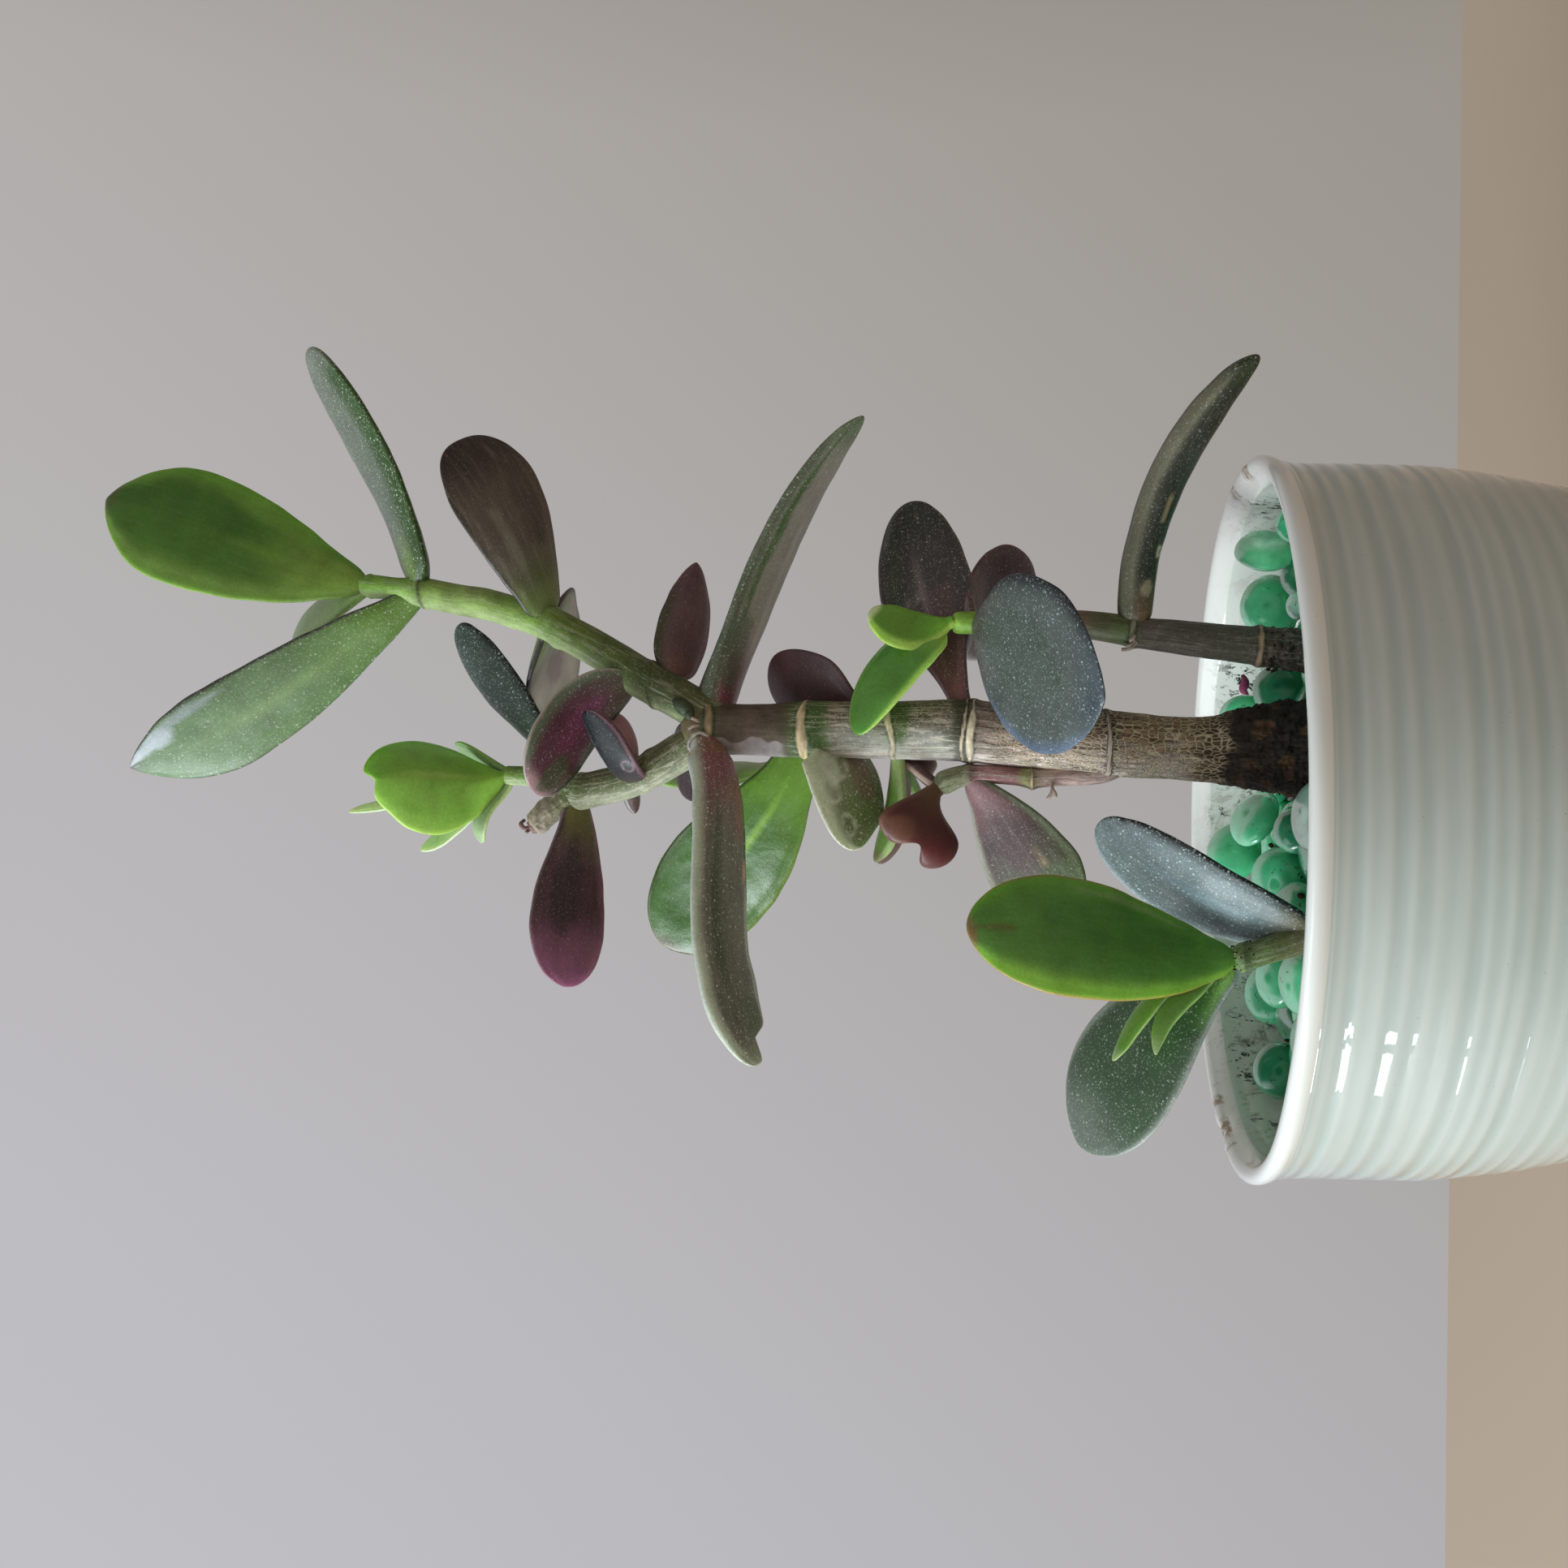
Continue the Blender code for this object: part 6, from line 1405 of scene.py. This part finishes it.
def build_fine_pieces(soil):
    """Threads, husks, a bract, a bud, an air root, a petal and crumbs, too fine for the solids."""
    web = plain_material("cobweb", (196, 192, 180), 0.6)
    husk = plain_material("dry_husk", (200, 176, 164), 0.8)
    bract = plain_material("withered_bract", (150, 118, 112), 0.8)
    bud = plain_material("bud_skin", (66, 80, 52), 0.6)
    petal = plain_material("dry_petal", (158, 60, 104), 0.7)
    tubes("cobweb_threads", (
        even(0.00007, (-0.0078, -0.0062, 0.2302), (-0.0049, -0.0086, 0.2263), (-0.0018, -0.0080, 0.2238),
             (0.0013, -0.0078, 0.2246), (0.0019, -0.0076, 0.2273), (-0.0005, -0.0074, 0.2289),
             (-0.0027, -0.0078, 0.2277), (-0.0018, -0.0084, 0.2250), (0.0036, -0.0078, 0.2239),
             (0.0070, -0.0062, 0.2250)),
        even(0.00007, (0.0110, -0.0060, 0.2304), (0.0129, -0.0066, 0.2313), (0.0142, -0.0070, 0.2325),
             (0.0159, -0.0072, 0.2320), (0.0173, -0.0070, 0.2302), (0.0164, -0.0064, 0.2282))), web)
    tubes("fork_husks", (
        even(0.00022, (0.0186, -0.0046, 0.2296), (0.0176, -0.0058, 0.2312), (0.0166, -0.0060, 0.2322)),
        even(0.00022, (0.0188, -0.0048, 0.2296), (0.0188, -0.0062, 0.2314), (0.0182, -0.0064, 0.2328)),
        even(0.00022, (0.0190, -0.0046, 0.2296), (0.0200, -0.0058, 0.2310), (0.0206, -0.0060, 0.2322)),
        even(0.00026, (0.0180, -0.0046, 0.2294), (0.0166, -0.0058, 0.2300), (0.0154, -0.0060, 0.2302))),
        husk)
    tubes("stub_bract", (
        (((-0.0030, 0.0008, 0.2690), 0.0018), ((-0.0040, 0.0002, 0.2702), 0.0020),
         ((-0.0046, -0.0002, 0.2712), 0.0014)),
        even(0.0005, (-0.0040, -0.0002, 0.2708), (-0.0046, -0.0012, 0.2720), (-0.0036, -0.0016, 0.2728),
             (-0.0027, -0.0008, 0.2722)),
        even(0.0004, (-0.0042, 0.0004, 0.2708), (-0.0050, 0.0008, 0.2716), (-0.0056, 0.0002, 0.2722))),
        bract,
        sides=12)
    tubes("fork_bud", (
        (((0.0212, -0.0030, 0.2322), 0.0010), ((0.0224, -0.0044, 0.2336), 0.0017),
         ((0.0236, -0.0050, 0.2352), 0.0015),
         ((0.0246, -0.0050, 0.2366), 0.0005)),
        (((0.0206, -0.0034, 0.2318), 0.0008), ((0.0214, -0.0050, 0.2330), 0.0012),
         ((0.0218, -0.0054, 0.2342), 0.0004))),
        bud, sides=14)
    tubes("air_root", (
        even(0.00022, (0.0074, -0.0022, 0.1538), (0.0056, -0.0034, 0.1536), (0.0044, -0.0036, 0.1540),
             (0.0036, -0.0034, 0.1546)),
        even(0.00016, (0.0058, -0.0034, 0.1536), (0.0048, -0.0038, 0.1530), (0.0040, -0.0038, 0.1529))),
        husk)
    tubes("right_node_husk", (
        even(0.00045, (0.0372, -0.0024, 0.1362), (0.0359, -0.0028, 0.1376), (0.0356, -0.0026, 0.1394)),
        even(0.00040, (0.0376, -0.0028, 0.1368), (0.0366, -0.0034, 0.1376), (0.0363, -0.0034, 0.1386)),
        even(0.00035, (0.0384, -0.0032, 0.1368), (0.0378, -0.0040, 0.1372), (0.0374, -0.0040, 0.1380))),
        husk)
    tubes("dry_petal", (
        (((0.0290, 0.0452, 0.1058), 0.0004), ((0.0304, 0.0450, 0.1068), 0.0010),
         ((0.0322, 0.0450, 0.1064), 0.0010),
         ((0.0340, 0.0452, 0.1070), 0.0004)),), petal, sides=10)
    chance = random.Random(47)
    places = []
    for _ in range(70):
        turn = chance.uniform(0, 2 * math.pi)
        height = 0.1140 + 0.0042 * chance.random()
        middle = -0.0270 - 0.0012 * (height - 0.1140) / 0.0035
        places.append((middle + 0.0028 * math.cos(turn), -0.0150 + 0.0028 * math.sin(turn), height,
                       chance.uniform(0.0001, 0.0003)))
    crumb_cluster("stem_crumbs", places, soil, 48)


# Stage

def place_camera():
    """The camera at the photograph's viewing angle, turned on its side."""
    data = bpy.data.cameras.new("camera")
    data.sensor_width = SENSOR
    data.lens = SENSOR * FOCAL_SHARE
    data.clip_start = 0.01
    data.clip_end = 30.0
    ahead = Vector((0, math.cos(PITCH), math.sin(PITCH)))
    above = Vector((0, -math.sin(PITCH), math.cos(PITCH)))
    right = Vector((1, 0, 0))
    turned_right = right * math.cos(ROLL) + above * math.sin(ROLL)
    turned_up = above * math.cos(ROLL) - right * math.sin(ROLL)
    # The picture lies on its side: its right edge is the scene's underside
    x_axis, y_axis, z_axis = -turned_up, turned_right, -ahead
    matrix = Matrix((x_axis, y_axis, z_axis)).transposed().to_4x4()
    camera = bpy.data.objects.new("camera", data)
    camera.matrix_world = Matrix.Translation(EYE) @ matrix
    bpy.context.scene.collection.objects.link(camera)
    bpy.context.scene.camera = camera


def area_light(name, place, target, size, power, colour):
    """A rectangular light at place that faces target."""
    data = bpy.data.lights.new(name, "AREA")
    data.shape = "RECTANGLE"
    data.size, data.size_y = size
    data.energy = power
    data.color = colour
    lamp = bpy.data.objects.new(name, data)
    lamp.location = place
    lamp.rotation_mode = "QUATERNION"
    lamp.rotation_quaternion = (Vector(target) - Vector(place)).to_track_quat("-Z", "Y")
    bpy.context.scene.collection.objects.link(lamp)


# How dim the room is to the right and behind the camera, as shares of the wall's light
RIGHT_DIM = 0.60
BEHIND_DIM = 0.95
# The room's colours low down and high up, each at its left and its right
ROOM_LOW = ((178, 176, 178), (150, 144, 135))
ROOM_HIGH = ((194, 194, 200), (176, 171, 168))
DAYLIGHT = (0.86, 0.97, 1.0)
# Lights: name, place, target, size and power
LAMPS = (
    ("window_far", (-1.675, -0.387, 0.46), (0, 0, 0.16), (0.48, 1.0), 24),
    ("window_near", (-1.55, -0.755, 0.46), (0, 0, 0.16), (0.12, 1.0), 6),
    ("sky", (-0.9, -0.7, 1.3), (0, 0, 0.15), (1.2, 0.9), 9),
)


def ramp(tree, source, low, high, start=0.0, end=1.0):
    """The source carried from low..high to start..end."""
    node = tree.nodes.new("ShaderNodeMapRange")
    for key, value in (("From Min", low), ("From Max", high), ("To Min", start), ("To Max", end)):
        node.inputs[key].default_value = value
    tree.links.new(source, node.inputs["Value"])
    return node.outputs[0]


def blend(tree, share, first, second):
    """Two colours, or two sockets, mixed by share."""
    node = tree.nodes.new("ShaderNodeMix")
    node.data_type = "RGBA"
    tree.links.new(share, node.inputs[0])
    for socket, value in ((node.inputs[6], first), (node.inputs[7], second)):
        if isinstance(value, bpy.types.NodeSocket):
            tree.links.new(value, socket)
        else:
            socket.default_value = value
    return node.outputs[2]


def build_room():
    """Soft light from all round: cool at the left, warmer and dimmer at the right, brighter high up."""
    world = bpy.data.worlds.new("room")
    bpy.context.scene.world = world
    world.use_nodes = True
    tree = world.node_tree
    place = tree.nodes.new("ShaderNodeTexCoord")
    split = tree.nodes.new("ShaderNodeSeparateXYZ")
    tree.links.new(place.outputs["Generated"], split.inputs[0])
    x, y, z = (split.outputs[axis] for axis in "XYZ")
    side = ramp(tree, x, -0.5, 0.5)
    low, high = (blend(tree, side, *map(rgba, row)) for row in (ROOM_LOW, ROOM_HIGH))
    tree.links.new(blend(tree, ramp(tree, z, -0.3, 0.6), low, high),
                   tree.nodes["Background"].inputs["Color"])
    both = tree.nodes.new("ShaderNodeMath")
    both.operation = "MULTIPLY"
    tree.links.new(ramp(tree, x, 0.42, 0.75, 1.0, RIGHT_DIM), both.inputs[0])
    tree.links.new(ramp(tree, y, 0.15, -0.35, 1.0, BEHIND_DIM), both.inputs[1])
    tree.links.new(both.outputs[0], tree.nodes["Background"].inputs["Strength"])


def build_stage():
    """A plain pale floor, the room and the lights."""
    g = Graph("floor_paint", {"Roughness": 0.7})
    tone = g.noise(g.place(), 3.0, 2.0)
    g.set("Base Color", g.mix(tone, rgba((184, 164, 143)), rgba((192, 171, 150))))
    far, near, wide = 0.244, -3.0, 3.0
    points = np.array([(-wide, near, 0), (wide, near, 0), (wide, far, 0), (-wide, far, 0),
                       (-wide, far, -0.03), (wide, far, -0.03)])
    points[:, 2] -= 0.0001
    floor = mesh_object("floor", points, [(0, 1, 2, 3), (3, 2, 5, 4)], g.material)
    floor.data.polygons.foreach_set("use_smooth", [False, False])
    build_room()
    for lamp in LAMPS:
        area_light(*lamp, DAYLIGHT)
    scene = bpy.context.scene
    scene.view_settings.view_transform = "Standard"
    scene.view_settings.look = "None"


def main():
    place_camera()
    build_stage()
    build_pot(glaze_material())
    soil = soil_material()
    build_soil(soil)
    build_beads(glass_material())
    build_crumbs(soil)
    bark = bark_material()
    tan = (206, 186, 148)
    stem_piece("trunk_bark", TRUNK, trunk_paint,
               ((0.1420, 0.00050, 0.0011, (184, 166, 152), 0.00045, 0.0003),
                (0.1708, 0.00035, 0.0009, (220, 206, 178), 0.00052, -0.0004),
                (0.1724, 0.00020, 0.0006, (206, 190, 162), 0.00022, -0.0004),
                (0.1884, 0.00025, 0.0008, (218, 206, 172), 0.00050, 0.0007),
                (0.2076, 0.00030, 0.0010, tan, 0.00072, -0.0002),
                (0.2286, 0.00055, 0.0012, (168, 146, 114), 0.00055, 0.0004)),
               0.00028, 144, 1.0, bark, ("trunk",), rough=(0.112, 0.121, 0.085))
    stem_piece("branch_right", BRANCH_RIGHT,
               branch_paint(((0.226, (92, 96, 62)), (0.240, (66, 78, 42)), (0.2455, (78, 96, 48)),
                             (0.262, (96, 118, 50)), (0.2655, (104, 132, 60)), (0.2700, (118, 152, 62)),
                             (0.285, (150, 180, 96)),
                             (0.298, (134, 168, 80)), (0.311, (118, 164, 62))), 0.30, (186, 200, 150),
                             0.45),
               ((0.2425, 0.0004, 0.0009, (92, 102, 66), 0.0002, 0.0), (0.2655, 0.0004, 0.0012, None, 0, 0),
                (0.2975, 0.0003, 0.0008, (96, 110, 60), 0.00016, 0.0006),
                (0.3108, 0.0002, 0.0006, None, 0, 0)),
               0.0004, 80, 2.0, bark, ())
    stem_piece("branch_left", BRANCH_LEFT,
               branch_paint(((0.226, (96, 98, 66)), (0.240, (112, 120, 84)), (0.255, (104, 112, 76)),
                             (0.262, (84, 100, 52)), (0.270, (110, 150, 60)), (0.278, (118, 160, 64))),
                            0.60, (176, 180, 156), 0.55),
               ((0.2440, 0.0003, 0.0010, None, 0, 0), (0.2600, 0.0003, 0.0010, None, 0, 0)),
               0.0004, 80, 3.0, bark, ())
    stem_piece("branch_stub", STUB,
               branch_paint(((0.262, (92, 104, 60)), (0.268, (150, 140, 122)), (0.271, (166, 152, 132))),
                            0.5,
                            (184, 168, 152), 0.5),
               ((0.2690, 0.0003, 0.0006, None, 0, 0),), 0.0003, 48, 4.0, bark, (),
               rough=(0.30, 0.31, 0.08))
    stem_piece("side_shoot", SIDE_SHOOT, shoot_paint,
               ((0.1580, 0.0004, 0.0008, (190, 166, 134), 0.00025, 0.0),
                (0.1712, 0.0004, 0.0008, None, 0, 0)),
               0.0003, 56, 5.0, bark, ())
    stem_piece("right_stem_bark", RIGHT_STEM, right_stem_paint,
               ((0.1110, 0.0005, 0.0009, (158, 132, 104), 0.00045, 0.0),
                (0.1372, 0.0005, 0.0010, (150, 146, 122), 0.00030, 0.0)),
               0.0003, 72, 6.0, bark, ("right_stem",), rough=(0.106, 0.112, 0.12))
    stem_piece("left_stem_bark", LEFT_STEM, left_stem_paint,
               ((0.1020, 0.0002, 0.0008, None, 0, 0), (0.1160, 0.0003, 0.0009, None, 0, 0)),
               0.0003, 64, 7.0, bark, ("left_stem",))
    wax = {"Subsurface Scale": 1.0, "IOR": 1.42, "Coat Weight": 0.12, "Coat Roughness": 0.25}
    white, cool = rgba((206, 214, 198)), rgba((196, 210, 210))
    skins = {
        "young": leaf_material("leaf_young_skin", {**wax, "Subsurface Weight": 0.35,
                               "Subsurface Radius": (0.0030, 0.0050, 0.0008)}, rgba((190, 210, 140))),
        "green": leaf_material("leaf_green_skin", {**wax, "Subsurface Weight": 0.15,
                               "Subsurface Radius": (0.0020, 0.0035, 0.0010)}, white),
        "blue": leaf_material("leaf_blue_skin", {**wax, "Subsurface Weight": 0.08,
                              "Subsurface Radius": (0.0020, 0.0030, 0.0020)}, cool),
        "purple": leaf_material("leaf_purple_skin", {**wax, "Subsurface Weight": 0.12,
                                "Subsurface Radius": (0.0040, 0.0010, 0.0010)}, rgba((196, 176, 184))),
        "bronze": leaf_material("leaf_bronze_skin", {**wax, "Subsurface Weight": 0.10,
                                "Subsurface Radius": (0.0030, 0.0020, 0.0010)}, rgba((190, 184, 170))),
    }
    for index, design in enumerate(LEAVES):
        build_leaf(design, skins[design["slot"]], index)
    build_fine_pieces(soil)


main()
